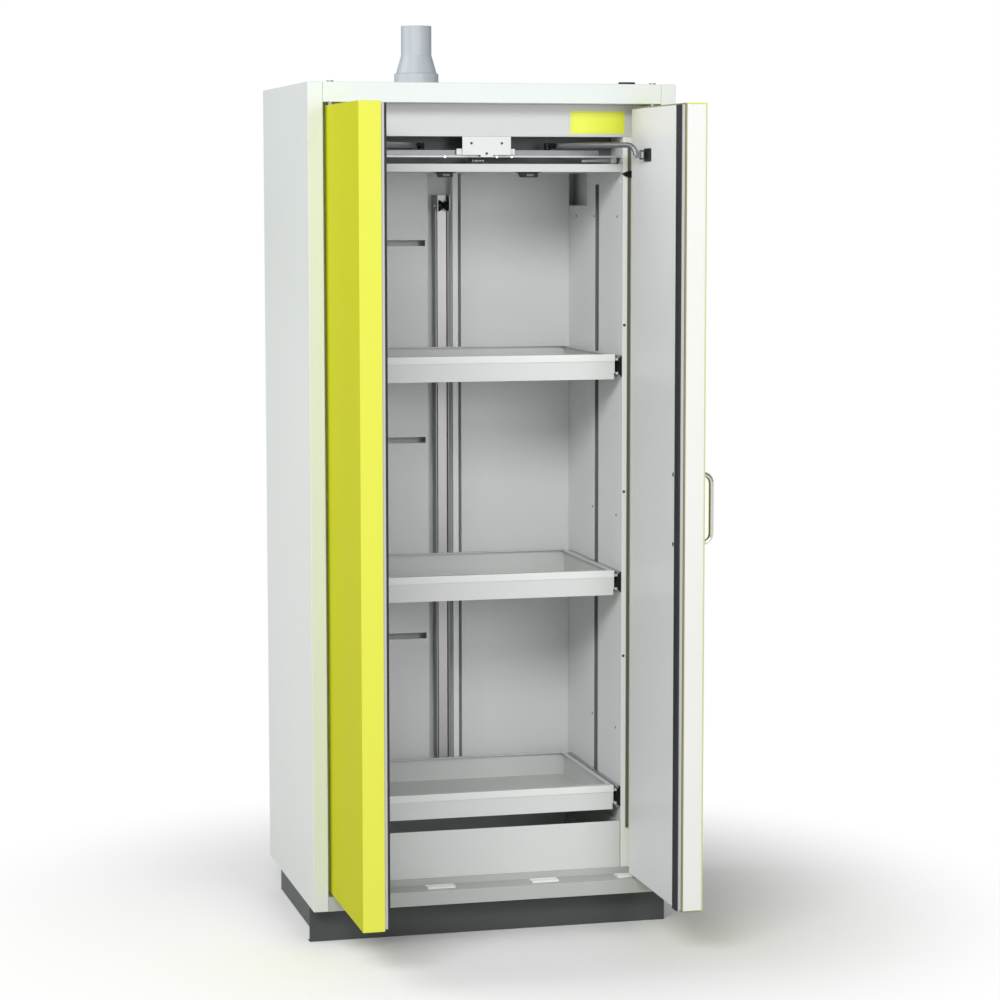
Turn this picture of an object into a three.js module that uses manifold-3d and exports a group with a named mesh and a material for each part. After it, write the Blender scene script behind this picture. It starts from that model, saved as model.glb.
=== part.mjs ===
// Fireproof safety cabinet: an insulated casing on a plinth, two wing doors with a closer
// behind the header, three trays on telescopic slides, a bottom sump and an exhaust spigot.
// Millimetres, +Z up, +X to the right, the front faces -Y. The origin is the middle of the
// casing's footprint on the floor. Both doors stand wide open.

import * as THREE from "three";
import { mergeVertices } from "three/addons/utils/BufferGeometryUtils.js";
import Module from "manifold-3d";

const wasm = await Module();
wasm.setup();

// Driving sizes of the casing
const width = 896;
const depth = 624;
const height = 2058;
const plinthHeight = 87;
const wall = 87;
const frontEdge = 36;
const fasciaHeight = 47;
const sillHeight = 35;
const floorThickness = 51;
const backWall = 28;

// Clearances and sheet gauges
const seat = 0.3;
const overrun = 1;
const sheet = 2;
const heavySheet = 3;
const runningGap = 0.3;

// Thickness of a door, which the casing's rebate takes in
const shell = 51;
const innerPlate = 7.7;
const doorSeal = 4.7;
const closedGap = 1;
const rebate = shell + innerPlate + doorSeal + closedGap + 2 * seat;

// Roundness of turned and bored pieces
const fineSides = 48;
const roundSides = 20;
const smallSides = 12;

// Places that follow from the casing
const halfWidth = width / 2;
const front = -depth / 2;
const back = depth / 2;
const face = front + rebate;
const rebateX = halfWidth - frontEdge;
const wallX = halfWidth - wall;
const fasciaZ = height - fasciaHeight;
const sillZ = plinthHeight + sillHeight;
const floorZ = plinthHeight + floorThickness;
const backWallY = back - backWall;

// Storage space
const liner = 25;
const ceilingBoard = 19;
const headerHeight = 77;
const closerHeight = 65;
const closerDepth = 107;
const ductDepth = 48;
const linerX = wallX - liner;
const headerZ = fasciaZ - headerHeight;
const ceilingTop = headerZ - closerHeight;
const ceilingZ = ceilingTop - ceilingBoard;
const rearPanelY = backWallY - ductDepth;
const coreY = face + closerDepth;

// Both rear panels and the recess between them
const recessLeft = -39;
const recessRight = 48;
const recessTaper = 8;
const ventHeight = 15;
const ventMargin = 7;
const ventHeightShares = [0.896612, 0.60222, 0.305491];

// Groove, cut-out and pin holes of a side liner
const grooveShare = 0.3917;
const grooveWidth = 34;
const grooveDepth = 8;
const grooveTopGap = 29;
const cornerCutShare = 0.597;
const cornerCutDrop = 82;
const pinHoleRadius = 3.5;
const pinHoleDepth = 10;
const pinHoleDrop = 23;
const pinHoleFrontGap = 21;
const pinHoleBackGap = 20;
const pinHoleCount = 4;
const linerDepth = backWallY - face;
const grooveFront = face + grooveShare * linerDepth;
const cornerCutY = face + cornerCutShare * linerDepth;
const cornerCutZ = ceilingZ - cornerCutDrop;
const pinHoleFirst = face + pinHoleFrontGap;
const pinHolePitch = (cornerCutY - pinHoleBackGap - pinHoleFirst) / (pinHoleCount - 1);

// Guide channel, tube and pulley on the back
const channelHalf = 17;
const channelWall = 2.5;
const channelSetBack = 8;
const channelTopGap = 55;
const tubeHalf = 11.7;
const tubeSetBack = 2;
const tubeDepth = 22;
const tubeWall = 1.5;
const pulleyReach = 8;
const pulleyDrop = 27;
const pulleyRadius = 14;
const pulleyGroove = 6.5;
const pulleyHalf = 12;
const pulleyFlank = 3;
const axleRadius = 3;
const axleHead = 5;
const axleHeadLength = 4;
const axleReach = 9.5;
const earHeight = 38;
const earReach = 6;
const channelFront = rearPanelY + channelSetBack;
const channelTop = ceilingZ - channelTopGap;
const tubeFront = channelFront + tubeSetBack;
const pulleyY = rearPanelY - pulleyReach;
const pulleyZ = channelTop - pulleyDrop;
const axleLeft = -channelHalf - axleReach;

// Plinth
const toeRecess = 60;
const plinthFold = 22;
const plinthInset = 26;
const plinthBackGap = 16;
const plinthSideX = halfWidth - plinthInset;

// Exhaust spigot and the duct above the ceiling
const spigotX = -82;
const spigotFromBack = 142;
const spigotCollar = 55.5;
const spigotShoulder = 51;
const spigotTube = 38.2;
const spigotWall = 2.4;
const spigotCollarTop = 41;
const spigotConeTop = 85;
const spigotTop = 158;
const plenumHalf = 56;
const plenumCover = 51;
const spigotY = back - spigotFromBack;
const plenumTop = fasciaZ - plenumCover;

// Doors
const doorGap = 4;
const centreGap = 3.5;
const doorTopGap = 8;
const doorSillGap = 7;
const plateInset = 5.5;
const plateBottomInset = 4;
const pivotInset = 11.5;
const hingeEdge = 15.5;
const doorSealWidth = 30;
const sealFromEdge = 3;
const openAngle = Math.PI / 2;
const stripWidth = 44;
const stripDepth = 1.5;
const stripInset = 3;

// Door pivots
const pinRadius = 6;
const pinClearance = 0.5;
const pinReach = 28;
const washerRadius = 9;
const capRadius = 8;
const capHeight = 3;
const sillSocket = 26;

// Door handle
const handleFromEdge = 57.5;
const handleZ = 1070;
const handleSpacing = 160;
const handleReach = 34;
const handleRadius = 6;
const handleBend = 24;
const handleSteps = 30;

// Frame gasket
const gasketInset = 11.5;
const gasketWidth = 6.5;
const gasketThickness = 4.7;
const gasketLift = 100;
const gasketTopGap = 24;
const gasketInner = linerX + gasketInset;
const gasketBottom = floorZ + gasketLift;
const gasketTop = headerZ - gasketTopGap;

// Door closer
const linkAcrossShare = 0.284076;
const linkGap = 0.7;
const linkRise = 4.4;
const armRadius = 6.5;
const armGap = 4.4;
const armSteps = 28;
const armDrop = 22;
const armHookShare = 0.8;
const gliderEyeRadius = 8;
const hookEyeRadius = 6.5;
const hookNeck = 4.8;
const eyeHeight = 15;
const linkPin = 3;
const linkEar = 3;
const linkHalf = 16;
const linkBase = 2.5;
const linkReach = 6;
const railSetBack = 35;
const railHalf = 15;
const railWall = 2;
const railHeight = 12.4;
const railEndGap = 56;
const carrierThickness = 4.3;
const carrierSetBack = 13.5;
const carrierDepth = 39.5;
const gliderRadius = 7;
const gliderStop = 14.5;
const gliderGap = 1.4;
const gliderSole = 0.8;
const linkOff = seat + linkBase + hookEyeRadius + linkGap;
const railY = face + railSetBack;
const railReach = linerX - railEndGap;
const carrierFront = face + carrierSetBack;
const carrierBack = carrierFront + carrierDepth;

// Centre bracket and release gear
const bracketX = -3;
const bracketHalf = 59.5;
const bracketRise = 5.4;
const bracketHole = 3.4;
const bracketHoleX = 37.3;
const bracketHoleDrop = 16;
const bracketTab = 15;
const bracketTabDrop = 5;
const bracketEar = 12;
const bracketEarLift = 0.5;
const bracketEarHeight = 14.5;
const bossRadius = 5;
const bossHeight = 0.2;
const bossX = 50;
const bossLift = 9;
const latchLeft = -40;
const latchRight = -6;
const latchDepth = 14;
const latchNotch = 7;
const latchFootGap = 1.3;
const leverFromLiner = 18;
const leverPivotDrop = 6.6;
const leverLength = 80;
const leverSetBack = 10.5;
const leverHalf = 2.5;
const leverEye = 4.5;
const leverDrop = 4.6;
const leverThickness = 7;
const leverPin = 2.5;
const leverEar = 2;
const leverEarHalf = 7;
const leverFootGap = 2;
const leverPivotX = linerX - leverFromLiner;

// Heights of the closer, from the ceiling panel up
const leverPivotZ = ceilingTop + leverFootGap + leverEarHalf;
const carrierZ = leverPivotZ + leverPivotDrop;
const latchHeight = carrierZ - seat - latchFootGap - ceilingTop;
const railFoot = carrierZ + carrierThickness + seat;
const railTop = railFoot + railHeight;
const gliderTop = railTop + gliderGap;
const armZ = railTop + armGap + armRadius;
const linkZ = carrierZ + linkRise;
const bracketFoot = carrierZ + bracketRise;
const bracketEarFoot = bracketFoot + bracketEarLift;
const bracketEarTop = bracketEarFoot + bracketEarHeight;
const bossZ = bracketFoot + bossLift;

// Trays and sump
const sumpHeight = 116.5;
const sumpFaceGap = 1.5;
const sumpSideGap = 6;
const sumpSetBack = 1;
const sumpRearGap = 11;
const trayHeight = 61;
const trayRise = 29.5;
const trayTopShares = [0.707309, 0.35515, 0];
const traySetBack = 3.5;
const rimHeight = 17;
const rimTop = 18;
const rimReturn = 8;
const rimSide = 12;
const rimOverhang = 2;
const sumpHalf = linerX - sumpFaceGap;
const sumpSide = linerX - sumpSideGap;
const sumpFront = face + sumpSetBack;
const sumpTop = floorZ + sumpHeight;
const trayFront = face + traySetBack;
const lowestTray = sumpTop + trayRise + trayHeight;
const trayTops = trayTopShares.map((share) => lowestTray + share * (ceilingZ - lowestTray));

// Telescopic slides: the section runs from the liner towards the tray
const slideDepth = 19.4;
const slideHeight = 53;
const slideSetBack = 4;
const slideRearGap = 29;
const slideOverhang = 2;
const slideDrop = 3;
const gauge = 1.8;
const lip = 4.2;
const lipGap = 0.7;
const bead = 3;
const beadFlank = 1.5;
const middleBack = 4;
const middleEndGap = 3;
const middleInset = 5.2;
const innerNearGap = 3.1;
const innerInset = 5.1;
const slideFront = face + slideSetBack;
const slideLength = rearPanelY - slideRearGap - slideFront;
const trayDepth = slideFront + slideLength - slideOverhang - trayFront;
const sumpDepth = rearPanelY - sumpRearGap - sumpFront;
const outerFlange = middleBack + bead + beadFlank + lipGap + gauge;
const middleHalf = slideHeight / 2 - middleInset;
const innerHalf = middleHalf - innerInset;

// Plain shapes
const weld = 1e-3;

function block(x, y, z) {
  return new THREE.BoxGeometry(x[1] - x[0], y[1] - y[0], z[1] - z[0]).translate(
    (x[0] + x[1]) / 2,
    (y[0] + y[1]) / 2,
    (z[0] + z[1]) / 2,
  );
}

// An outline in X and Y, raised along Z
function alongZ(points, z) {
  const outline = new THREE.Shape(points.map(([a, b]) => new THREE.Vector2(a, b)));
  const options = { depth: z[1] - z[0], bevelEnabled: false };
  return new THREE.ExtrudeGeometry(outline, options).translate(0, 0, z[0]);
}

// An outline in X and Z, drawn along Y
function alongY(points, y) {
  return alongZ(points, [-y[1], -y[0]]).rotateX(Math.PI / 2);
}

// An outline in Y and Z, drawn along X
function alongX(points, x) {
  const turn = new THREE.Matrix4().makeBasis(
    new THREE.Vector3(0, 1, 0),
    new THREE.Vector3(0, 0, 1),
    new THREE.Vector3(1, 0, 0),
  );
  return alongZ(points, x).applyMatrix4(turn);
}

function rodX(radius, y, z, x, sides = roundSides) {
  const rod = new THREE.CylinderGeometry(radius, radius, x[1] - x[0], sides);
  return rod.rotateZ(Math.PI / 2).translate((x[0] + x[1]) / 2, y, z);
}

function rodY(radius, x, z, y, sides = roundSides) {
  const rod = new THREE.CylinderGeometry(radius, radius, y[1] - y[0], sides);
  return rod.translate(x, (y[0] + y[1]) / 2, z);
}

function rodZ(radius, x, y, z, sides = roundSides) {
  const rod = new THREE.CylinderGeometry(radius, radius, z[1] - z[0], sides);
  return rod.rotateX(Math.PI / 2).translate(x, y, (z[0] + z[1]) / 2);
}

// A profile of radius and height, turned about the vertical
function turned(profile, sides) {
  const points = profile.map(([r, z]) => new THREE.Vector2(r, z));
  return new THREE.LatheGeometry(points, sides).rotateX(Math.PI / 2);
}

function mirrored(geometry) {
  const copy = (geometry.index ? geometry.toNonIndexed() : geometry.clone()).scale(-1, 1, 1);
  const position = copy.getAttribute("position");
  const corner = new THREE.Vector3();
  const other = new THREE.Vector3();
  for (let i = 0; i < position.count; i += 3) {
    corner.fromBufferAttribute(position, i + 1);
    other.fromBufferAttribute(position, i + 2);
    position.setXYZ(i + 1, other.x, other.y, other.z);
    position.setXYZ(i + 2, corner.x, corner.y, corner.z);
  }
  return copy;
}

// Joins and cuts
function solidOf(geometry) {
  const bare = geometry.index ? geometry.toNonIndexed() : geometry.clone();
  bare.deleteAttribute("normal");
  bare.deleteAttribute("uv");
  const merged = mergeVertices(bare, weld);
  const vertProperties = merged.getAttribute("position").array;
  const triVerts = new Uint32Array(merged.index.array);
  return new wasm.Manifold(new wasm.Mesh({ numProp: 3, vertProperties, triVerts }));
}

function geometryOf(solid) {
  const mesh = solid.getMesh();
  const geometry = new THREE.BufferGeometry();
  geometry.setAttribute("position", new THREE.BufferAttribute(mesh.vertProperties, 3));
  geometry.setIndex(new THREE.BufferAttribute(mesh.triVerts, 1));
  geometry.computeVertexNormals();
  return geometry;
}

function join(...pieces) {
  return geometryOf(pieces.map(solidOf).reduce((all, piece) => all.add(piece)));
}

function cut(base, ...tools) {
  return geometryOf(tools.map(solidOf).reduce((rest, tool) => rest.subtract(tool), solidOf(base)));
}

// Finishes
function finish(color, roughness, metalness) {
  return new THREE.MeshStandardMaterial({ color, roughness, metalness });
}

const casingPaint = finish("#dfe5e2", 0.5, 0);
const doorPaint = finish("#dce63c", 0.42, 0);
const innerPaint = finish("#e4e6ea", 0.5, 0);
const plinthPaint = finish("#3f4443", 0.6, 0);
const board = finish("#c9ccca", 0.6, 0);
const insulation = finish("#b9b6ac", 0.9, 0);
const darkSheet = finish("#3a3c3d", 0.6, 0.3);
const zinc = finish("#b4b7ba", 0.35, 0.9);
const brightSteel = finish("#c9cbcc", 0.3, 0.9);
const blackPlastic = finish("#232425", 0.55, 0);
const blackSeal = finish("#2e3033", 0.85, 0);
const oliveSeal = finish("#4f5544", 0.85, 0);
const spigotPlastic = finish("#c3c7cf", 0.45, 0);
const edgeBoard = finish("#f1f2ee", 0.55, 0);

const cabinet = new THREE.Group();

function add(name, geometry, material, side = 1, parent = cabinet) {
  const mesh = new THREE.Mesh(geometry, material);
  mesh.name = name;
  mesh.scale.x = side;
  parent.add(mesh);
}

const sides = [
  ["left", -1],
  ["right", 1],
];

// A casing side: a full-height outer part and an inner part behind the door rebate
function sideWall() {
  const outer = block([rebateX, halfWidth], [front, back], [plinthHeight, height]);
  const inner = block([wallX, rebateX + overrun], [face, back], [plinthHeight, fasciaZ - seat]);
  return join(outer, inner);
}

// The floor of the casing, with the lower step that the doors close over
function basePanel() {
  const sillX = rebateX - seat;
  const floorX = wallX - seat;
  const sill = block([-sillX, sillX], [front, face - seat], [plinthHeight, sillZ]);
  const floor = block([-floorX, floorX], [face - seat - overrun, back], [plinthHeight, sillZ]);
  const deck = block([-floorX, floorX], [face, back], [plinthHeight, floorZ]);
  const sockets = sides.map(([, side]) =>
    rodZ(
      pinRadius + pinClearance,
      side * pivotX,
      pivotY,
      [sillZ - sillSocket - seat, sillZ + overrun],
      smallSides,
    ),
  );
  return cut(join(sill, floor, deck), ...sockets);
}

function topPanel() {
  const reach = rebateX - seat;
  const slab = block([-reach, reach], [front, back], [fasciaZ, height]);
  const through = [fasciaZ - overrun, height + overrun];
  const bores = sides.map(([, side]) =>
    rodZ(pinRadius + pinClearance, side * pivotX, pivotY, through, smallSides),
  );
  const duct = rodZ(spigotCollar - spigotWall, spigotX, spigotY, through, fineSides);
  return cut(slab, ...bores, duct);
}

// Insulation above the storage space, hollowed for the way from the rear duct to the spigot
function ceilingCore() {
  const reach = wallX - seat;
  const core = block([-reach, reach], [coreY, backWallY - seat], [ceilingTop + seat, fasciaZ - seat]);
  const plenum = block(
    [spigotX - plenumHalf, spigotX + plenumHalf],
    [spigotY - plenumHalf, backWallY + overrun],
    [ceilingTop - overrun, plenumTop],
  );
  const riser = rodZ(
    spigotCollar - spigotWall,
    spigotX,
    spigotY,
    [plenumTop - overrun, fasciaZ + overrun],
    fineSides,
  );
  return cut(core, plenum, riser);
}

function ceilingPanel() {
  const reach = linerX - seat;
  return block([-reach, reach], [face, rearPanelY - seat], [ceilingZ, ceilingTop]);
}

function backPanel() {
  const reach = wallX - seat;
  return block([-reach, reach], [backWallY, back], [floorZ + seat, fasciaZ - seat]);
}

// The folded sheet under the fascia, whose lower flange carries the centre bracket
function headerPanel() {
  const reach = wallX - seat;
  const profile = [
    [face, headerZ],
    [carrierBack, headerZ],
    [carrierBack, headerZ + sheet],
    [face + sheet, headerZ + sheet],
    [face + sheet, fasciaZ - seat],
    [face, fasciaZ - seat],
  ];
  return alongX(profile, [-reach, reach]);
}

// Plinth: a folded front sheet and two folded side plates set in from the casing
const plinthFrontY = front + toeRecess;

function plinthFront() {
  const top = plinthHeight - seat;
  const profile = [
    [plinthFrontY, 0],
    [plinthFrontY + plinthFold, 0],
    [plinthFrontY + plinthFold, sheet],
    [plinthFrontY + sheet, sheet],
    [plinthFrontY + sheet, top - sheet],
    [plinthFrontY + plinthFold, top - sheet],
    [plinthFrontY + plinthFold, top],
    [plinthFrontY, top],
  ];
  return alongX(profile, [-halfWidth, halfWidth]);
}

function plinthSide() {
  const top = plinthHeight - seat;
  const inner = plinthSideX - plinthFold;
  const profile = [
    [inner, 0],
    [plinthSideX, 0],
    [plinthSideX, top],
    [inner, top],
    [inner, top - sheet],
    [plinthSideX - sheet, top - sheet],
    [plinthSideX - sheet, sheet],
    [inner, sheet],
  ];
  const channel = alongY(profile, [plinthFrontY + sheet + seat, back - plinthBackGap]);
  const x = [inner - overrun, plinthSideX + overrun];
  const y = [plinthFrontY, plinthFrontY + plinthFold + seat];
  const upperNotch = block(x, y, [top - sheet - seat, top + overrun]);
  const lowerNotch = block(x, y, [-overrun, sheet + seat]);
  return cut(channel, upperNotch, lowerNotch);
}

// A side liner: front part up to the header, rear part under the ceiling core
function sideLiner() {
  const inner = linerX;
  const outer = wallX - seat;
  const profile = [
    [face, floorZ + seat],
    [backWallY - seat, floorZ + seat],
    [backWallY - seat, cornerCutZ],
    [cornerCutY, cornerCutZ],
    [cornerCutY, ceilingTop],
    [coreY - sheet - 2 * seat, ceilingTop],
    [coreY - sheet - 2 * seat, headerZ - seat],
    [face, headerZ - seat],
  ];
  const groove = block(
    [inner - overrun, inner + grooveDepth],
    [grooveFront, grooveFront + grooveWidth],
    [floorZ, ceilingZ - grooveTopGap],
  );
  const holes = Array.from({ length: pinHoleCount }, (_, i) =>
    rodX(
      pinHoleRadius,
      pinHoleFirst + i * pinHolePitch,
      ceilingZ - pinHoleDrop,
      [inner - overrun, inner + pinHoleDepth],
      smallSides,
    ),
  );
  return cut(alongX(profile, [inner, outer]), groove, ...holes);
}

// The slotted sheet over the exhaust duct, folded back along the recess
function ductPanel() {
  const left = -linerX + seat;
  const rear = backWallY - seat;
  const plan = [
    [left, rearPanelY],
    [recessLeft, rearPanelY],
    [recessLeft, rear],
    [recessLeft - sheet, rear],
    [recessLeft - sheet, rearPanelY + sheet],
    [left, rearPanelY + sheet],
  ];
  const vents = ventHeightShares.map((share) => {
    const z = floorZ + share * (ceilingZ - floorZ);
    return block(
      [left + ventMargin, recessLeft - ventMargin],
      [rearPanelY - overrun, rearPanelY + sheet + overrun],
      [z - ventHeight / 2, z + ventHeight / 2],
    );
  });
  return cut(alongZ(plan, [floorZ + seat, ceilingTop]), ...vents);
}

function rearPanel() {
  const right = linerX - seat;
  const rear = backWallY - seat;
  const plan = [
    [recessRight, rearPanelY],
    [right, rearPanelY],
    [right, rearPanelY + sheet],
    [recessRight + sheet, rearPanelY + sheet],
    [recessRight - recessTaper + sheet, rear],
    [recessRight - recessTaper, rear],
  ];
  return alongZ(plan, [floorZ + seat, ceilingTop]);
}

// The channel in the recess, with two ears at its top that hold the pulley's axle
function guideChannel() {
  const rear = backWallY - seat;
  const inner = channelHalf - channelWall;
  const plan = [
    [-channelHalf, channelFront],
    [-inner, channelFront],
    [-inner, rear - channelWall],
    [inner, rear - channelWall],
    [inner, channelFront],
    [channelHalf, channelFront],
    [channelHalf, rear],
    [-channelHalf, rear],
  ];
  const ears = sides.map(([, side]) => {
    const x = [side * inner, side * channelHalf].sort((a, b) => a - b);
    const y = [pulleyY - earReach, channelFront + overrun];
    return block(x, y, [channelTop - earHeight, channelTop]);
  });
  const bore = rodX(
    axleRadius + runningGap,
    pulleyY,
    pulleyZ,
    [-channelHalf - overrun, channelHalf + overrun],
    smallSides,
  );
  return cut(join(alongZ(plan, [floorZ + seat, channelTop]), ...ears), bore);
}

function guideTube() {
  const z = [floorZ + seat, channelTop];
  const through = [z[0] - overrun, z[1] + overrun];
  const bore = tubeHalf - tubeWall;
  return cut(
    block([-tubeHalf, tubeHalf], [tubeFront, tubeFront + tubeDepth], z),
    block([-bore, bore], [tubeFront + tubeWall, tubeFront + tubeDepth - tubeWall], through),
  );
}

function pulley() {
  const bore = axleRadius + runningGap;
  const profile = [
    [bore, -pulleyHalf],
    [pulleyRadius, -pulleyHalf],
    [pulleyRadius, pulleyFlank - pulleyHalf],
    [pulleyGroove, 0],
    [pulleyRadius, pulleyHalf - pulleyFlank],
    [pulleyRadius, pulleyHalf],
    [bore, pulleyHalf],
    [bore, -pulleyHalf],
  ];
  return turned(profile, roundSides).rotateY(Math.PI / 2).translate(0, pulleyY, pulleyZ);
}

function pulleyAxle() {
  const shaft = rodX(axleRadius, pulleyY, pulleyZ, [axleLeft, channelHalf + sheet], smallSides);
  const head = rodX(axleHead, pulleyY, pulleyZ, [axleLeft, axleLeft + axleHeadLength], smallSides);
  return join(shaft, head);
}

// The exhaust spigot: a collar, a cone and a straight tube, open from end to end
function spigot() {
  const foot = height + seat;
  const levels = [
    [spigotCollar, foot],
    [spigotCollar, height + spigotCollarTop - spigotWall],
    [spigotShoulder, height + spigotCollarTop],
    [spigotTube, height + spigotConeTop],
    [spigotTube, height + spigotTop],
  ];
  const inside = levels.map(([r, z]) => [r - spigotWall, z]).reverse();
  return turned([...levels, ...inside, levels[0]], fineSides).translate(spigotX, spigotY, 0);
}

// Rail and carrier that the closer's arms run in
const leverY = carrierFront + leverSetBack;

function railCarrier() {
  const reach = linerX - seat;
  const plate = block(
    [-reach, reach],
    [carrierFront, carrierBack],
    [carrierZ, carrierZ + carrierThickness],
  );
  const gap = leverThickness / 2 + runningGap;
  const ears = [-1, 1].map((way) => {
    const y = [leverY + way * gap, leverY + way * (gap + leverEar)].sort((a, b) => a - b);
    const x = [leverPivotX - leverEarHalf, leverPivotX + leverEarHalf];
    return block(x, y, [leverPivotZ - leverEarHalf, carrierZ + overrun]);
  });
  const reachY = gap + leverEar;
  const pin = rodY(
    leverPin,
    leverPivotX,
    leverPivotZ,
    [leverY - reachY, leverY + reachY],
    smallSides,
  );
  return join(plate, ...ears, pin);
}

function guideRail() {
  const inner = railHalf - railWall;
  const profile = [
    [railY - railHalf, railFoot],
    [railY + railHalf, railFoot],
    [railY + railHalf, railTop],
    [railY + inner, railTop],
    [railY + inner, railFoot + railWall],
    [railY - inner, railFoot + railWall],
    [railY - inner, railTop],
    [railY - railHalf, railTop],
  ];
  return alongX(profile, [-railReach, railReach]);
}

// The plate in the middle of the header, with fixing holes, two bosses, a tab and two ears
function centreBracket() {
  const y = [face + seat, face + seat + heavySheet];
  const earY = [carrierFront - seat - heavySheet, carrierFront - seat];
  const top = headerZ - seat;
  const plate = block([bracketX - bracketHalf, bracketX + bracketHalf], y, [bracketFoot, top]);
  const tab = block(
    [bracketX - bracketTab, bracketX + bracketTab],
    y,
    [bracketFoot - bracketTabDrop, bracketFoot + overrun],
  );
  const earZ = [bracketEarFoot, bracketEarTop];
  const ears = [-1, 1].flatMap((way) => {
    const edge = bracketX + way * bracketHalf;
    const span = (a, b) => [edge + way * a, edge + way * b].sort((p, q) => p - q);
    return [
      block(span(-heavySheet, 0), [y[0], earY[1]], earZ),
      block(span(-heavySheet, bracketEar), earY, earZ),
    ];
  });
  const bosses = [-1, 1].map((way) =>
    rodY(bossRadius, bracketX + way * bossX, bossZ, [y[0] - bossHeight, y[0] + overrun]),
  );
  const through = [y[0] - overrun, y[1] + overrun];
  const holeZ = top - bracketHoleDrop;
  const holes = [
    rodY(bracketHole, bracketX - bracketHoleX, holeZ, through, smallSides),
    rodY(bracketHole, bracketX + bracketHoleX, holeZ, through, smallSides),
    rodY(bracketHole, bracketX, bracketFoot + bracketHole, through, smallSides),
  ];
  return cut(join(plate, tab, ...ears, ...bosses), ...holes);
}

// The block under the carrier that holds the doors open until its link lets go
function releaseLatch() {
  const top = carrierZ - seat;
  const foot = top - latchHeight;
  const profile = [
    [latchLeft, foot + latchNotch],
    [latchLeft + latchNotch, foot],
    [latchRight - latchNotch, foot],
    [latchRight - latchNotch, foot + latchNotch],
    [latchRight, foot + latchNotch],
    [latchRight, top],
    [latchLeft, top],
  ];
  return alongY(profile, [carrierFront, carrierFront + latchDepth]);
}

function releaseLever() {
  const half = leverThickness / 2;
  const y = [leverY - half, leverY + half];
  const tip = leverPivotX - leverLength;
  const bar = [
    [leverPivotX, leverPivotZ - leverEye],
    [leverPivotX, leverPivotZ + leverEye],
    [tip, leverPivotZ - leverDrop + 2 * leverHalf],
    [tip, leverPivotZ - leverDrop],
  ];
  const eye = rodY(leverEye, leverPivotX, leverPivotZ, y, smallSides);
  const bore = rodY(
    leverPin + runningGap,
    leverPivotX,
    leverPivotZ,
    [y[0] - overrun, y[1] + overrun],
    smallSides,
  );
  return cut(join(alongY(bar, y), eye), bore);
}

function mechanismBackplate() {
  const reach = linerX - seat;
  return block(
    [-reach, reach],
    [coreY - seat - sheet, coreY - seat],
    [ceilingTop + seat, headerZ - seat],
  );
}

function frameGasket() {
  return block(
    [gasketInner, gasketInner + gasketWidth],
    [face - seat - gasketThickness, face - seat],
    [gasketBottom, gasketTop],
  );
}

// Places on a door, as it hangs closed with its pivot at the origin and its free edge at -X
const pivotX = rebateX - doorGap - hingeEdge;
const pivotY = front + pivotInset;
const freeEdge = centreGap - pivotX;
const linkAcross = linkAcrossShare * pivotX;
const doorTop = fasciaZ - doorTopGap;
const doorBottom = sillZ + doorSillGap;
const shellY = [-pivotInset, shell - pivotInset];
const plateY = [shellY[1] + seat, shellY[1] + seat + innerPlate];

function doorShell(side) {
  const slab = block([freeEdge, hingeEdge], shellY, [doorBottom, doorTop]);
  const bore = pinRadius + pinClearance;
  const sockets = [
    rodZ(bore, 0, 0, [doorBottom - overrun, doorBottom + pinReach + seat], smallSides),
    rodZ(bore, 0, 0, [doorTop - pinReach - seat, doorTop + overrun], smallSides),
  ];
  const recess = block(
    [freeEdge - overrun, freeEdge + stripDepth + seat],
    [stripY[0] - seat, stripY[1] + seat],
    [doorBottom + stripInset, doorTop - stripInset],
  );
  return side > 0 ? cut(slab, ...sockets, recess) : cut(slab, ...sockets);
}

const stripY = [
  (shellY[0] + shellY[1] - stripWidth) / 2,
  (shellY[0] + shellY[1] + stripWidth) / 2,
];

function edgeStrip() {
  return block(
    [freeEdge, freeEdge + stripDepth],
    stripY,
    [doorBottom + stripInset + seat, doorTop - stripInset - seat],
  );
}

function doorPlate() {
  return block(
    [freeEdge + plateInset, hingeEdge - plateInset],
    plateY,
    [doorBottom + plateBottomInset, doorTop - plateBottomInset],
  );
}

function doorSealStrip() {
  return block(
    [freeEdge + sealFromEdge, freeEdge + sealFromEdge + doorSealWidth],
    [plateY[1] + seat, plateY[1] + seat + doorSeal],
    [doorBottom + plateBottomInset, doorTop - plateBottomInset],
  );
}

// A bow of round bar: a leg, a bend, the grip, a bend and a leg
function handle() {
  const outer = shellY[0] - handleReach;
  const foot = shellY[0] - seat;
  const low = handleZ - handleSpacing / 2;
  const high = handleZ + handleSpacing / 2;
  const x = freeEdge + handleFromEdge;
  const at = (y, z) => new THREE.Vector3(x, y, z);
  const path = new THREE.CurvePath();
  path.add(new THREE.LineCurve3(at(foot, low), at(outer + handleBend, low)));
  path.add(
    new THREE.QuadraticBezierCurve3(
      at(outer + handleBend, low),
      at(outer, low),
      at(outer, low + handleBend),
    ),
  );
  path.add(new THREE.LineCurve3(at(outer, low + handleBend), at(outer, high - handleBend)));
  path.add(
    new THREE.QuadraticBezierCurve3(
      at(outer, high - handleBend),
      at(outer, high),
      at(outer + handleBend, high),
    ),
  );
  path.add(new THREE.LineCurve3(at(outer + handleBend, high), at(foot, high)));
  return tube(path, handleRadius, handleSteps);
}

function tube(path, radius, steps) {
  const section = new THREE.Shape(
    Array.from({ length: smallSides }, (_, i) => {
      const angle = (2 * Math.PI * i) / smallSides;
      return new THREE.Vector2(radius * Math.cos(angle), radius * Math.sin(angle));
    }),
  );
  return new THREE.ExtrudeGeometry(section, { steps, extrudePath: path, bevelEnabled: false });
}

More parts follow.
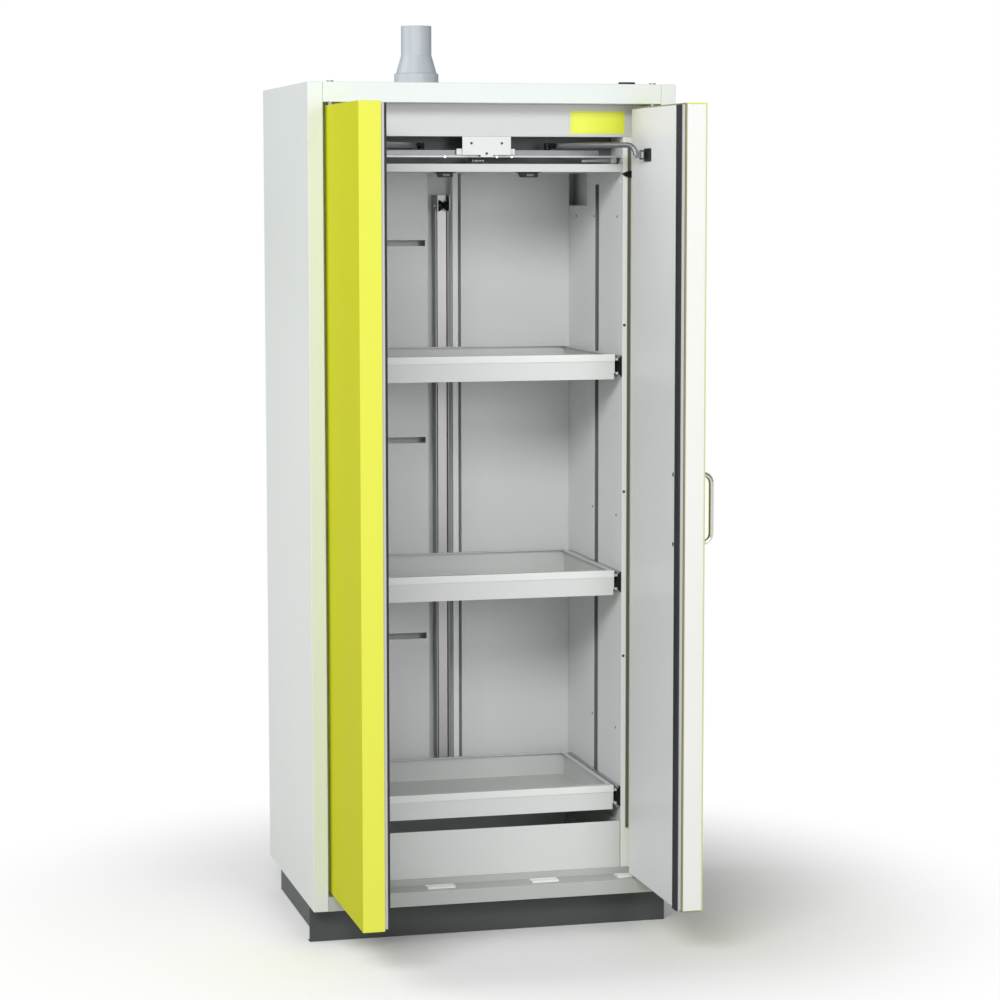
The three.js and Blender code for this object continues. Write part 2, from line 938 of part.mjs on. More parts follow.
// The bracket on a door's inner plate that the arm hooks into
function armBracket() {
  const foot = plateY[1] + seat;
  const pinY = plateY[1] + linkOff;
  const low = linkZ - eyeHeight / 2 - seat;
  const high = linkZ + eyeHeight / 2 + seat;
  const x = [-linkAcross - linkHalf, -linkAcross + linkHalf];
  const base = block(x, [foot, foot + linkBase], [low - linkEar, high + linkEar]);
  const earX = [-linkAcross - linkReach, -linkAcross + linkReach];
  const ears = [
    block(earX, [foot, pinY + linkReach], [low - linkEar, low]),
    block(earX, [foot, pinY + linkReach], [high, high + linkEar]),
  ];
  const pin = rodZ(linkPin, -linkAcross, pinY, [low - linkEar / 2, high + linkEar / 2], smallSides);
  return join(base, ...ears, pin);
}

// The arm's two ends at rest: the hook on the open door and the glider in the rail.
// A closed door brings the glider to its stop beside the middle, which sets the arm's length.
const linkLocalY = plateY[1] + linkOff;
const hookOpen = [pivotX - linkLocalY, pivotY - linkAcross];
const hookClosed = [pivotX - linkAcross, pivotY + linkLocalY];
const armLength = Math.hypot(hookClosed[0] - gliderStop, railY - hookClosed[1]);
const gliderOpen = [
  hookOpen[0] - Math.sqrt(armLength ** 2 - (railY - hookOpen[1]) ** 2),
  railY,
];

function closerArm() {
  const along = [
    (gliderOpen[0] - hookOpen[0]) / armLength,
    (gliderOpen[1] - hookOpen[1]) / armLength,
  ];
  const at = (distance, z) =>
    new THREE.Vector3(hookOpen[0] + along[0] * distance, hookOpen[1] + along[1] * distance, z);
  const path = new THREE.CurvePath();
  path.add(new THREE.LineCurve3(at(armLength, armZ), at(2 * armDrop, armZ)));
  path.add(
    new THREE.QuadraticBezierCurve3(
      at(2 * armDrop, armZ),
      at(armDrop, armZ),
      at(armHookShare * armDrop, linkZ),
    ),
  );
  const rod = tube(path, armRadius, armSteps);
  const hookSpan = [linkZ - eyeHeight / 2, linkZ + eyeHeight / 2];
  const hookEye = rodZ(hookEyeRadius, hookOpen[0], hookOpen[1], hookSpan);
  const neck = block([-hookNeck, hookNeck], [0, armHookShare * armDrop], hookSpan);
  neck.rotateZ(Math.atan2(along[1], along[0]) - Math.PI / 2).translate(hookOpen[0], hookOpen[1], 0);
  const bore = rodZ(
    linkPin + runningGap,
    hookOpen[0],
    hookOpen[1],
    [hookSpan[0] - overrun, hookSpan[1] + overrun],
    smallSides,
  );
  const gliderEye = rodZ(gliderEyeRadius, gliderOpen[0], gliderOpen[1], [gliderTop, armZ + armRadius]);
  const sole = railFoot + railWall + gliderSole;
  const glider = rodZ(gliderRadius, gliderOpen[0], gliderOpen[1], [sole, gliderTop + overrun]);
  return cut(join(rod, neck, hookEye, gliderEye, glider), bore);
}

// A pivot: a pin in the casing and in the door, with a washer between them
function topPivot() {
  const profile = [
    [0, doorTop - pinReach],
    [pinRadius, doorTop - pinReach],
    [pinRadius, doorTop + seat],
    [washerRadius, doorTop + seat],
    [washerRadius, fasciaZ - seat],
    [pinRadius, fasciaZ - seat],
    [pinRadius, height + seat],
    [capRadius, height + seat],
    [capRadius, height + capHeight],
    [0, height + capHeight],
  ];
  return turned(profile, roundSides).translate(pivotX, pivotY, 0);
}

function bottomPivot() {
  const profile = [
    [0, sillZ - sillSocket],
    [pinRadius, sillZ - sillSocket],
    [pinRadius, sillZ + seat],
    [washerRadius, sillZ + seat],
    [washerRadius, doorBottom - seat],
    [pinRadius, doorBottom - seat],
    [pinRadius, doorBottom + pinReach],
    [0, doorBottom + pinReach],
  ];
  return turned(profile, roundSides).translate(pivotX, pivotY, 0);
}

// Slide sections as points of distance from the liner and height about the middle
function slidePiece(section, top) {
  const middle = top - slideDrop - slideHeight / 2;
  const plan = section.map(([u, v]) => [linerX - seat - u, middle + v]);
  return alongY(plan, [slideFront, slideFront + slideLength]);
}

function outerMember(top) {
  const half = slideHeight / 2;
  const upper = [
    [outerFlange, half - lip],
    [outerFlange, half - gauge / 2],
    [outerFlange - gauge / 2, half],
    [gauge / 2, half],
    [0, half - gauge / 2],
  ];
  const hollow = [
    [gauge, half - gauge],
    [outerFlange - gauge, half - gauge],
    [outerFlange - gauge, half - lip],
  ];
  return slidePiece(symmetric([...hollow, ...upper]), top);
}

// Completes an upper half, written from the inside out, with its mirror image below
function symmetric(upper) {
  const lower = upper.map(([u, v]) => [u, -v]).reverse();
  return [...upper, ...lower];
}

function middleMember(top) {
  const far = slideDepth - middleEndGap;
  const crest = slideHeight / 2 - gauge - runningGap;
  const nose = middleBack + beadFlank;
  const upper = [
    [middleBack + gauge, middleHalf - gauge],
    [far, middleHalf - gauge],
    [far, middleHalf],
    [nose + bead, middleHalf],
    [nose + bead - beadFlank, crest],
    [nose, crest],
    [nose - beadFlank, middleHalf],
    [middleBack, middleHalf - gauge],
  ];
  return slidePiece(symmetric(upper), top);
}

function innerMember(top) {
  const near = middleBack + gauge + innerNearGap;
  const crest = middleHalf - gauge - runningGap;
  const nose = near + beadFlank;
  const end = slideDepth + seat + overrun;
  const upper = [
    [slideDepth - gauge, innerHalf - gauge],
    [near, innerHalf - gauge],
    [near, innerHalf],
    [nose, crest],
    [nose + bead, crest],
    [nose + bead + beadFlank, innerHalf],
    [end, innerHalf],
  ];
  return slidePiece(symmetric(upper), top);
}

// A tray: a folded pan with a rolled front rim and a turned-in edge on its other sides
const trayHalf = linerX - 2 * seat - slideDepth;

function tray(top) {
  const bottom = top - trayHeight;
  const rear = trayFront + trayDepth;
  const wallInner = trayHalf - sheet;
  const edge = trayHalf - rimSide;
  const rimFace = trayFront - sheet;
  const pan = cut(
    block([-trayHalf, trayHalf], [trayFront, rear], [bottom, top]),
    block([-wallInner, wallInner], [trayFront + sheet, rear - sheet], [bottom + sheet, top - sheet]),
    block([-edge, edge], [rimFace + rimTop, rear - rimSide], [top - sheet - overrun, top + overrun]),
  );
  const rimProfile = [
    [rimFace, top - rimHeight],
    [trayFront + overrun, top - rimHeight],
    [trayFront + overrun, top],
    [rimFace, top],
  ];
  const returnProfile = [
    [rimFace + rimTop - sheet, top - rimReturn],
    [rimFace + rimTop, top - rimReturn],
    [rimFace + rimTop, top - overrun],
    [rimFace + rimTop - sheet, top - overrun],
  ];
  const rimReach = trayHalf + rimOverhang;
  const rim = join(
    alongX(rimProfile, [-wallInner, wallInner]),
    block([-rimReach, rimReach], [rimFace, trayFront], [top - rimHeight, top]),
  );
  const back = alongX(returnProfile, [-wallInner - overrun, wallInner + overrun]);
  const runner = innerMember(top);
  return join(pan, rim, back, runner, mirrored(runner));
}

// The sump: a deep pan behind a flush front sheet
function sump() {
  const foot = floorZ + seat;
  const step = sumpFront + sheet;
  const rear = sumpFront + sumpDepth;
  const plan = [
    [-sumpHalf, sumpFront],
    [sumpHalf, sumpFront],
    [sumpHalf, step],
    [sumpSide, step],
    [sumpSide, rear],
    [-sumpSide, rear],
    [-sumpSide, step],
    [-sumpHalf, step],
  ];
  const inside = block(
    [sheet - sumpSide, sumpSide - sheet],
    [step, rear - sheet],
    [foot + sheet, sumpTop + overrun],
  );
  return cut(alongZ(plan, [foot, sumpTop]), inside);
}

function buildCasing() {
  add("base_panel", basePanel(), casingPaint);
  add("top_panel", topPanel(), casingPaint);
  add("back_wall", backPanel(), casingPaint);
  add("ceiling_core", ceilingCore(), insulation);
  add("ceiling_panel", ceilingPanel(), casingPaint);
  add("header_panel", headerPanel(), casingPaint);
  add("plinth_front", plinthFront(), plinthPaint);
  for (const [word, side] of sides) {
    add(word + "_side_wall", sideWall(), casingPaint, side);
    add("plinth_" + word, plinthSide(), plinthPaint, side);
    add(word + "_liner", sideLiner(), board, side);
    add(word + "_frame_gasket", frameGasket(), oliveSeal, side);
    add(word + "_top_pivot", topPivot(), zinc, side);
    add(word + "_bottom_pivot", bottomPivot(), zinc, side);
  }
}

function buildRear() {
  add("duct_panel", ductPanel(), board);
  add("rear_panel", rearPanel(), board);
  add("guide_channel", guideChannel(), zinc);
  add("guide_tube", guideTube(), brightSteel);
  add("pulley", pulley(), blackPlastic);
  add("pulley_axle", pulleyAxle(), zinc);
  add("exhaust_spigot", spigot(), spigotPlastic);
}

function buildCloser() {
  add("mechanism_backplate", mechanismBackplate(), darkSheet);
  add("rail_carrier", railCarrier(), brightSteel);
  add("guide_rail", guideRail(), zinc);
  add("centre_bracket", centreBracket(), brightSteel);
  add("release_latch", releaseLatch(), blackPlastic);
  add("release_lever", releaseLever(), zinc);
  for (const [word, side] of sides) add(word + "_closer_arm", closerArm(), zinc, side);
}

function buildDoors() {
  for (const [word, side] of sides) {
    const leaf = new THREE.Group();
    leaf.position.set(side * pivotX, pivotY, 0);
    leaf.rotation.z = side * openAngle;
    cabinet.add(leaf);
    add(word + "_door_shell", doorShell(side), doorPaint, side, leaf);
    add(word + "_door_plate", doorPlate(), innerPaint, side, leaf);
    add(word + "_door_seal", doorSealStrip(), blackSeal, side, leaf);
    add(word + "_arm_bracket", armBracket(), zinc, side, leaf);
    if (side < 0) continue;
    add("edge_strip", edgeStrip(), edgeBoard, side, leaf);
    add("door_handle", handle(), zinc, side, leaf);
  }
}

function buildTrays() {
  trayTops.forEach((top, i) => {
    const number = i + 1;
    add("tray_" + number, tray(top), casingPaint);
    for (const [word, side] of sides) {
      add(word + "_outer_slide_" + number, outerMember(top), zinc, side);
      add(word + "_middle_slide_" + number, middleMember(top), zinc, side);
    }
  });
  add("sump", sump(), casingPaint);
}

buildCasing();
buildRear();
buildCloser();
buildDoors();
buildTrays();

export default cabinet;
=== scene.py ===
# %% [markdown]
# # Fireproof safety cabinet
# A tall cabinet with thick insulated walls, two wing doors, three pull-out trays, a sump and an
# exhaust spigot. The solids come from CAD as a fixed frame. This lesson gives them their finishes
# and adds the small parts that a sheet-metal shop fits last: screws, strike plates, bumpers,
# clips, a spring, a bare plate and the caps of the slides.

# %% Load the frame
import math

import bmesh
import bpy
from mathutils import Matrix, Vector


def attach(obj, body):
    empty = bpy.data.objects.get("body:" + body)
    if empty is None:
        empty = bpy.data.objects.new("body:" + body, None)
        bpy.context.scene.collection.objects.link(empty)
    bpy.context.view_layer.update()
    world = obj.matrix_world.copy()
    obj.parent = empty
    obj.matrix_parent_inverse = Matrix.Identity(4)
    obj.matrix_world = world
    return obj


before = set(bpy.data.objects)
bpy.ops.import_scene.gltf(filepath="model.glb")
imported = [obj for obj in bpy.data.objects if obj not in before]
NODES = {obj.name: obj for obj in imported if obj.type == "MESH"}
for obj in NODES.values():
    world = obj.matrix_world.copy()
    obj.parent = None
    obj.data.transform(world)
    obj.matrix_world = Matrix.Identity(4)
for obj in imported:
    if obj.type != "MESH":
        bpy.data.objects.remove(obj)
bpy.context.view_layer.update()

MM = 0.001


def linear(code):
    """An sRGB hex colour as the linear RGBA that a shader socket takes."""
    red, green, blue = (
        c / 12.92 if c <= 0.04045 else ((c + 0.055) / 1.055) ** 2.4
        for c in (int(code[i : i + 2], 16) / 255 for i in (1, 3, 5))
    )
    return red, green, blue, 1.0


# %% [markdown]
# The photograph was taken with a long lens from a few metres away, a little left of the middle
# and a little above the doors' middle. The camera's place, turn and focal length were fitted to
# the casing's long edges, so the render can be laid over the photograph.

# %% Camera
CAMERA_PLACE = (-1670.3, -6982.3, 1796.5)
CAMERA_YAW = 0.2472
CAMERA_PITCH = 0.1055
CAMERA_ROLL = 0.0009
FOCAL_PIXELS = 2886.3
FRAME_PIXELS = 1000
SENSOR = 36

camera_data = bpy.data.cameras.new("camera")
camera_data.sensor_width = SENSOR
camera_data.lens = SENSOR * FOCAL_PIXELS / FRAME_PIXELS
camera = bpy.data.objects.new("camera", camera_data)
camera.location = Vector(CAMERA_PLACE) * MM
camera.rotation_euler = (math.pi / 2 - CAMERA_PITCH, CAMERA_ROLL, -CAMERA_YAW)
bpy.context.scene.collection.objects.link(camera)
bpy.context.scene.camera = camera
print("lens", round(camera_data.lens, 1), "mm")


# %% [markdown]
# Shaders are built from nodes. One helper adds a node, sets what it is given and links what comes
# from another node, so that every material reads as a short list of steps.

# %% Helper for nodes
def add_node(tree, kind, links=None, **settings):
    """Adds a node. settings name its properties or input sockets, links name sockets to join."""
    node = tree.nodes.new(kind)
    for name, value in settings.items():
        if hasattr(node, name):
            setattr(node, name, value)
        else:
            node.inputs[name.replace("_", " ")].default_value = value
    for name, source in (links or {}).items():
        tree.links.new(source, node.inputs[name])
    return node


def new_material(name):
    """An empty material with its output node, and the tree to build in."""
    material = bpy.data.materials.new(name)
    material.use_nodes = True
    tree = material.node_tree
    tree.nodes.clear()
    return material, tree, tree.nodes.new("ShaderNodeOutputMaterial")


# %% [markdown]
# Powder coat is paint that is sprayed on as dust and baked. It shrinks into a fine orange peel,
# which breaks up the gloss. The real peel is about 1 mm across, too fine for this view, so it is
# drawn 3 mm wide, beside a broad and very weak change of tone, as long sheets have.

# %% Powder coat
PEEL = 3 * MM
PEEL_DEPTH = 0.2 * MM
CLOUD = 450 * MM
GLOSS_SPREAD = 0.04
PLASTIC_IOR = 1.5


def powder_coat(name, colour, roughness, shade=0.03, bump=0.05, specular=0.5):
    """A baked powder coat over sheet steel."""
    material, tree, output = new_material(name)
    place = add_node(tree, "ShaderNodeTexCoord").outputs["Object"]
    cloud = add_node(tree, "ShaderNodeTexNoise", {"Vector": place}, Scale=1 / CLOUD, Detail=2.0)
    tone = add_node(
        tree,
        "ShaderNodeMapRange",
        {"Value": cloud.outputs["Fac"]},
        To_Min=1 - shade,
        To_Max=1 + shade,
    )
    tinted = add_node(
        tree,
        "ShaderNodeHueSaturation",
        {"Value": tone.outputs["Result"]},
        Color=linear(colour),
    )
    peel = add_node(tree, "ShaderNodeTexNoise", {"Vector": place}, Scale=1 / PEEL, Detail=1.0)
    height = add_node(
        tree,
        "ShaderNodeBump",
        {"Height": peel.outputs["Fac"]},
        Strength=bump,
        Distance=PEEL_DEPTH,
    )
    gloss = add_node(
        tree,
        "ShaderNodeMapRange",
        {"Value": peel.outputs["Fac"]},
        To_Min=roughness - GLOSS_SPREAD,
        To_Max=roughness + GLOSS_SPREAD,
    )
    shader = add_node(
        tree,
        "ShaderNodeBsdfPrincipled",
        {
            "Base Color": tinted.outputs["Color"],
            "Roughness": gloss.outputs["Result"],
            "Normal": height.outputs["Normal"],
        },
        IOR=PLASTIC_IOR,
        Specular_IOR_Level=specular,
    )
    tree.links.new(shader.outputs["BSDF"], output.inputs["Surface"])
    return material


# Casing: steel sheet, powder-coated light grey and baked, so it looks even and satin.
casing_coat = powder_coat("light_grey_powder_coat", "#dfe5e2", 0.42)
# Header and ceiling: the same baked coat, darkened to a neutral grey as painted shade, flat and
# calm.
shaded_header_coat = powder_coat("shaded_neutral_grey_powder_coat", "#cbcdcc", 0.45, shade=0.02)
# Base: folded steel, powder-coated a shade darker, softly shiny.
base_coat = powder_coat("mid_grey_powder_coat", "#b4b8b4", 0.45)
# Closer's bracket: stamped steel under white-passivated zinc, pale and without a pattern.
bracket_coat = powder_coat("white_zinc_passivated_plate", "#dadcda", 0.42)
# Doors: powder coat with a strong yellow-green pigment, which leaves hardly any highlight.
door_coat = powder_coat("yellow_green_powder_coat", "#dfe252", 0.5, shade=0.02, specular=0.1)
# Doors' broad faces: the same paint, darkened as painted shade, so its colour is deeper.
shaded_door_face_coat = powder_coat(
    "shaded_yellow_green_powder_coat", "#cdd022", 0.55, shade=0.02, specular=0.05
)
# Doors' inner plates: flat steel, powder-coated cool white, which shows broad soft light.
plate_coat = powder_coat("cool_white_powder_coat", "#f1f2f2", 0.4, shade=0.02)
# Plinth: steel folded first and then powder-coated anthracite, dark with a dull sheen.
plinth_coat = powder_coat("anthracite_powder_coat", "#414645", 0.5, shade=0.05)
# Sheet behind the closer: dark grey as painted shade in the slot, so the mechanism stands out
# before it.
painted_shade_coat = powder_coat("painted_shade_dark_grey_sheet", "#6c6e70", 0.55, shade=0.06)
# Trays and sump: steel welded tight and powder-coated, smooth and easy to wipe.
tray_coat = powder_coat("light_grey_tray_powder_coat", "#d2d5d3", 0.4)
# Trays' front rims: the same coat made lighter as painted light, for the light that a tight fold
# catches.
# lit_rim_coat = powder_coat("painted_light_rim_powder_coat", "#e1e3e1", 0.4, shade=0.02)
lit_rim_coat = powder_coat("painted_light_rim_powder_coat", "#e1e3e1", 0.4, shade=0.02)
# Inner fold of the right door: the door paint darkened to a dull olive as painted shade.
shaded_fold_coat = powder_coat("painted_shade_olive_edge_coat", "#8c8a5f", 0.5, shade=0.02)
# Outer fold of the right door: the door paint lightened to a pale olive line as painted light.
lit_fold_coat = powder_coat("painted_light_olive_edge_coat", "#cfcd9c", 0.5, shade=0.02)
# Free edges of the inner plates: the white plate coat greyed as painted shade, a cool dull grey.
shaded_plate_edge_coat = powder_coat("shaded_lilac_grey_edge_coat", "#c3c1c3", 0.5, shade=0.02)


# %% [markdown]
# The inside is lined with laminated board: a hard melamine face pressed on with a fine matte
# texture. The texture's grains are about 2 mm wide and shallow. The insulation above the ceiling
# is raw mineral board, which is coarser and chalky.

# %% Laminate and mineral board
BOARD_TONES = (0.96, 1.03)
PRESS_DEPTH = 0.3 * MM


def pressed_board(name, colour, roughness, grain, depth):
    """A board face with a pressed or raw texture of the given grain."""
    material, tree, output = new_material(name)
    place = add_node(tree, "ShaderNodeTexCoord").outputs["Object"]
    fine = add_node(tree, "ShaderNodeTexNoise", {"Vector": place}, Scale=1 / grain, Detail=3.0)
    broad = add_node(tree, "ShaderNodeTexNoise", {"Vector": place}, Scale=1 / CLOUD, Detail=1.0)
    tone = add_node(
        tree,
        "ShaderNodeMapRange",
        {"Value": broad.outputs["Fac"]},
        To_Min=BOARD_TONES[0],
        To_Max=BOARD_TONES[1],
    )
    tinted = add_node(
        tree,
        "ShaderNodeHueSaturation",
        {"Value": tone.outputs["Result"]},
        Color=linear(colour),
    )
    height = add_node(
        tree,
        "ShaderNodeBump",
        {"Height": fine.outputs["Fac"]},
        Strength=depth,
        Distance=PRESS_DEPTH,
    )
    shader = add_node(
        tree,
        "ShaderNodeBsdfPrincipled",
        {"Base Color": tinted.outputs["Color"], "Normal": height.outputs["Normal"]},
        Roughness=roughness,
        IOR=PLASTIC_IOR,
    )
    tree.links.new(shader.outputs["BSDF"], output.inputs["Surface"])
    return material


# Rear panels: faced with melamine, a resin paper pressed on hot, matte and hard.
laminate = pressed_board("light_grey_melamine_laminate", "#e0e2e1", 0.5, 2 * MM, 0.15)
# Side boards and recess trim: the same facing with a paler paper.
side_laminate = pressed_board("pale_grey_melamine_laminate", "#f0f2f1", 0.5, 2 * MM, 0.15)
# Door's edge strip: thin laminate glued over the edge, off-white and a little smoother.
edge_laminate = pressed_board("off_white_edge_laminate", "#e9eae5", 0.45, 2 * MM, 0.1)
# Insulation: calcium silicate board, pressed and hardened in steam, chalky and pitted.
mineral_board = pressed_board("raw_calcium_silicate_board", "#b9b6ac", 0.9, 6 * MM, 0.5)


# %% [markdown]
# Galvanised and rolled steel shine, but in a soft way: rolling leaves fine lines along the strip,
# and zinc gives a faint mottle. Stretched noise makes the lines, by scaling the coordinates down
# along the rolling direction.

# %% Steel
LINE_WIDTH = 0.8 * MM
LINE_LENGTH = 120 * MM
LINE_DEPTH = 0.1 * MM
LINE_BUMP = 0.06
LINE_POLISH = 0.06
LINE_DULLING = 0.1
PATCH = 25 * MM


def rolled_steel(name, colour, roughness, along, mottle=0.06, metallic=1.0):
    """Bare or zinc-plated steel with rolling lines along an axis."""
    material, tree, output = new_material(name)
    place = add_node(tree, "ShaderNodeTexCoord").outputs["Object"]
    stretch = [1 / LINE_WIDTH] * 3
    stretch["XYZ".index(along)] = 1 / LINE_LENGTH
    lines_place = add_node(tree, "ShaderNodeMapping", {"Vector": place}, Scale=stretch)
    lines_vector = {"Vector": lines_place.outputs["Vector"]}
    lines = add_node(tree, "ShaderNodeTexNoise", lines_vector, Scale=1.0)
    patch = add_node(tree, "ShaderNodeTexNoise", {"Vector": place}, Scale=1 / PATCH, Detail=2.0)
    tone = add_node(
        tree,
        "ShaderNodeMapRange",
        {"Value": patch.outputs["Fac"]},
        To_Min=1 - mottle,
        To_Max=1 + mottle,
    )
    tinted = add_node(
        tree,
        "ShaderNodeHueSaturation",
        {"Value": tone.outputs["Result"]},
        Color=linear(colour),
    )
    gloss = add_node(
        tree,
        "ShaderNodeMapRange",
        {"Value": lines.outputs["Fac"]},
        To_Min=roughness - LINE_POLISH,
        To_Max=roughness + LINE_DULLING,
    )
    height = add_node(
        tree,
        "ShaderNodeBump",
        {"Height": lines.outputs["Fac"]},
        Strength=LINE_BUMP,
        Distance=LINE_DEPTH,
    )
    shader = add_node(
        tree,
        "ShaderNodeBsdfPrincipled",
        {
            "Base Color": tinted.outputs["Color"],
            "Roughness": gloss.outputs["Result"],
            "Normal": height.outputs["Normal"],
        },
        Metallic=metallic,
    )
    tree.links.new(shader.outputs["BSDF"], output.inputs["Surface"])
    return material


# Slides: zinc-plated steel, roll-formed along Y, so its fine lines run front to back.
zinc_along_y = rolled_steel("zinc_plated_slide_steel", "#b9bcbf", 0.34, "Y")
# Rail and release lever: zinc-plated steel with lines along X, a darker grey.
zinc_along_x = rolled_steel("zinc_plated_rail_steel", "#77797b", 0.4, "X")
# Arms, axle and pins: round bar, bent or turned and then zinc-plated, a soft middle grey.
arm_steel = rolled_steel("zinc_plated_arm_steel", "#96989a", 0.42, "X")
# Handle: stainless steel tube, bent and brushed, with a clear satin highlight.
satin_steel = rolled_steel("satin_stainless_steel", "#d6d6d3", 0.2, "Z", mottle=0.02)
# Arm brackets and screws: steel under black-passivated zinc, dark with a metal sheen.
dark_steel = rolled_steel("black_zinc_plated_steel", "#4c4e50", 0.42, "Z")
# Channel: zinc-plated strip, folded along Z and dulled by vapours, pale and half matte.
zinc_along_z = rolled_steel("zinc_plated_channel_steel", "#aeb0b0", 0.5, "Z", metallic=0.6)
# Tube in the channel: bright steel drawn through a die, with faint lines along it.
bright_along_z = rolled_steel("bright_drawn_tube", "#c2c0c0", 0.5, "Z", mottle=0.02)
# Rail carrier: bare cold-rolled strip, whose front edge shows as a bright line.
bright_along_x = rolled_steel("bright_rolled_strip", "#b4b7b7", 0.5, "X", mottle=0.03)
# Rivets and spring: bright turned or drawn steel, the smoothest metal here.
turned_steel = rolled_steel("turned_bright_steel", "#c3c6c8", 0.28, "Z", mottle=0.03)


# %% [markdown]
# Moulded plastic takes its surface from the mould: black ABS has a light grain and a soft sheen,
# while the pipe of the spigot is grey polypropylene with a waxy look. The seals are extruded
# rubber and swelling strip, nearly without gloss.

# %% Plastics and seals
MOULD_DEPTH = 0.1 * MM
MOULD_SPREAD = 0.05


def moulded(name, colour, roughness, grain, depth, specular=0.5):
    """A moulded or extruded part with a fine grain."""
    material, tree, output = new_material(name)
    place = add_node(tree, "ShaderNodeTexCoord").outputs["Object"]
    fine = add_node(tree, "ShaderNodeTexNoise", {"Vector": place}, Scale=1 / grain, Detail=2.0)
    height = add_node(
        tree,
        "ShaderNodeBump",
        {"Height": fine.outputs["Fac"]},
        Strength=depth,
        Distance=MOULD_DEPTH,
    )
    gloss = add_node(
        tree,
        "ShaderNodeMapRange",
        {"Value": fine.outputs["Fac"]},
        To_Min=roughness - MOULD_SPREAD,
        To_Max=roughness + MOULD_SPREAD,
    )
    shader = add_node(
        tree,
        "ShaderNodeBsdfPrincipled",
        {"Roughness": gloss.outputs["Result"], "Normal": height.outputs["Normal"]},
        Base_Color=linear(colour),
        IOR=PLASTIC_IOR,
        Specular_IOR_Level=specular,
    )
    tree.links.new(shader.outputs["BSDF"], output.inputs["Surface"])
    return material


# Roller, latch, gliders, clips and caps: ABS injected into a grained mould, black and soft.
black_abs = moulded("black_moulded_abs", "#0e0f10", 0.45, 1.5 * MM, 0.3, specular=0.25)
# Door seals: EPDM rubber, extruded and vulcanised, near black and dull.
seal_rubber = moulded("near_black_epdm_seal", "#2e3033", 0.7, 2 * MM, 0.3, specular=0.3)
# Bumpers' inlays: grey rubber pressed into a pocket, lighter than its holder.
inlay_rubber = moulded("grey_rubber_inlay", "#5d5f60", 0.5, 2 * MM, 0.3)
# Frame gaskets: a strip that swells in fire, extruded with graphite, rough and dark olive.
swelling_strip = moulded("dark_olive_swelling_strip", "#666a57", 0.8, 3 * MM, 0.4, specular=0.25)
# Spigot: moulded polypropylene pipe, blue-grey and waxy, so its highlight is broad.
spigot_pp = moulded("blue_grey_polypropylene", "#b4bac1", 0.36, 2 * MM, 0.1)
# Groove linings: dark grey as painted shade for the depth of the grooves, smooth and dull.
groove_shade_pvc = moulded("painted_shade_groove_lining", "#6f7270", 0.55, 2 * MM, 0.15, specular=0.35)
# Plugs and strike plates: moulded nylon, white with a slight sheen.
white_plug = moulded("white_nylon_plug", "#eef0f0", 0.4, 1.5 * MM, 0.1)
# Header plate: rolled plastic film with a glued back, flat, smooth and bright yellow.
yellow_film = moulded("yellow_printed_film", "#e3ea3c", 0.35, 1.5 * MM, 0.05)

# %% [markdown]
# Every CAD node now gets the finish that its real piece has. The table lists the nodes under
# each material, and a starred name stands for a left and a right piece.

# %% Finish the CAD nodes
FINISHES = {
    casing_coat: ["top_panel", "back_wall", "*_side_wall"],
    shaded_header_coat: ["header_panel", "ceiling_panel"],
    base_coat: ["base_panel"],
    plinth_coat: ["plinth_front", "plinth_left", "plinth_right"],
    tray_coat: ["tray_1", "tray_2", "tray_3", "sump"],
    laminate: ["duct_panel", "rear_panel"],
    side_laminate: ["*_liner"],
    mineral_board: ["ceiling_core"],
    zinc_along_z: ["guide_channel"],
    bright_along_z: ["guide_tube"],
    black_abs: ["pulley", "release_latch"],
    arm_steel: ["*_closer_arm", "pulley_axle", "*_top_pivot", "*_bottom_pivot"],
    spigot_pp: ["exhaust_spigot"],
    painted_shade_coat: ["mechanism_backplate"],
    bright_along_x: ["rail_carrier"],
    bracket_coat: ["centre_bracket"],
    zinc_along_x: ["guide_rail", "release_lever"],
    dark_steel: ["*_arm_bracket"],
    satin_steel: ["door_handle"],
    swelling_strip: ["*_frame_gasket"],
    door_coat: ["*_door_shell"],
    plate_coat: ["*_door_plate"],
    seal_rubber: ["*_door_seal"],
    edge_laminate: ["edge_strip"],
    zinc_along_y: ["*_outer_slide_1", "*_outer_slide_2", "*_outer_slide_3"]
    + ["*_middle_slide_1", "*_middle_slide_2", "*_middle_slide_3"],
}


def every(names):
    """The node names, with each starred one replaced by its left and its right piece."""
    pairs = [(name, side) for name in names for side in ("left", "right")]
    return dict.fromkeys(name.replace("*", side) for name, side in pairs)


for material, names in FINISHES.items():
    for name in every(names):
        mesh = NODES[name].data
        mesh.materials.clear()
        mesh.materials.append(material)
        for polygon in mesh.polygons:
            polygon.material_index = 0

bare = [name for name, node in NODES.items() if not node.data.materials]
print("nodes without a finish:", bare)

# %% [markdown]
# Some nodes wear two finishes. The doors' plates are grey along their cut edges as painted shade,
# and the shells are darker on their broad faces as painted shade, with a painted-shade olive line
# and a painted-light pale line round the right door's edge. The arms end in moulded gliders and the
# trays' front rims are lighter as painted light. The faces are chosen by where their middles lie,
# so no shape changes.

# %% Second finishes
FREE_EDGE_Y = -683
SHELL_EDGE_Y = -689
FOLD_X = 354
EDGE_INNER_X = 357
EDGE_OUTER_X = 400
OUTER_FACE_X = 403.5
GLIDER_X = 173
RIM_Y = -245
FOOT_Z = 135


def second_finish(name, material, chosen):
    """Gives some faces of a node one more finish. chosen takes a face's middle in millimetres."""
    mesh = NODES[name].data
    mesh.materials.append(material)
    faces = [face for face in mesh.polygons if chosen(face.center / MM)]
    for face in faces:
        face.material_index = len(mesh.materials) - 1
    print(name, material.name, len(faces), "faces")


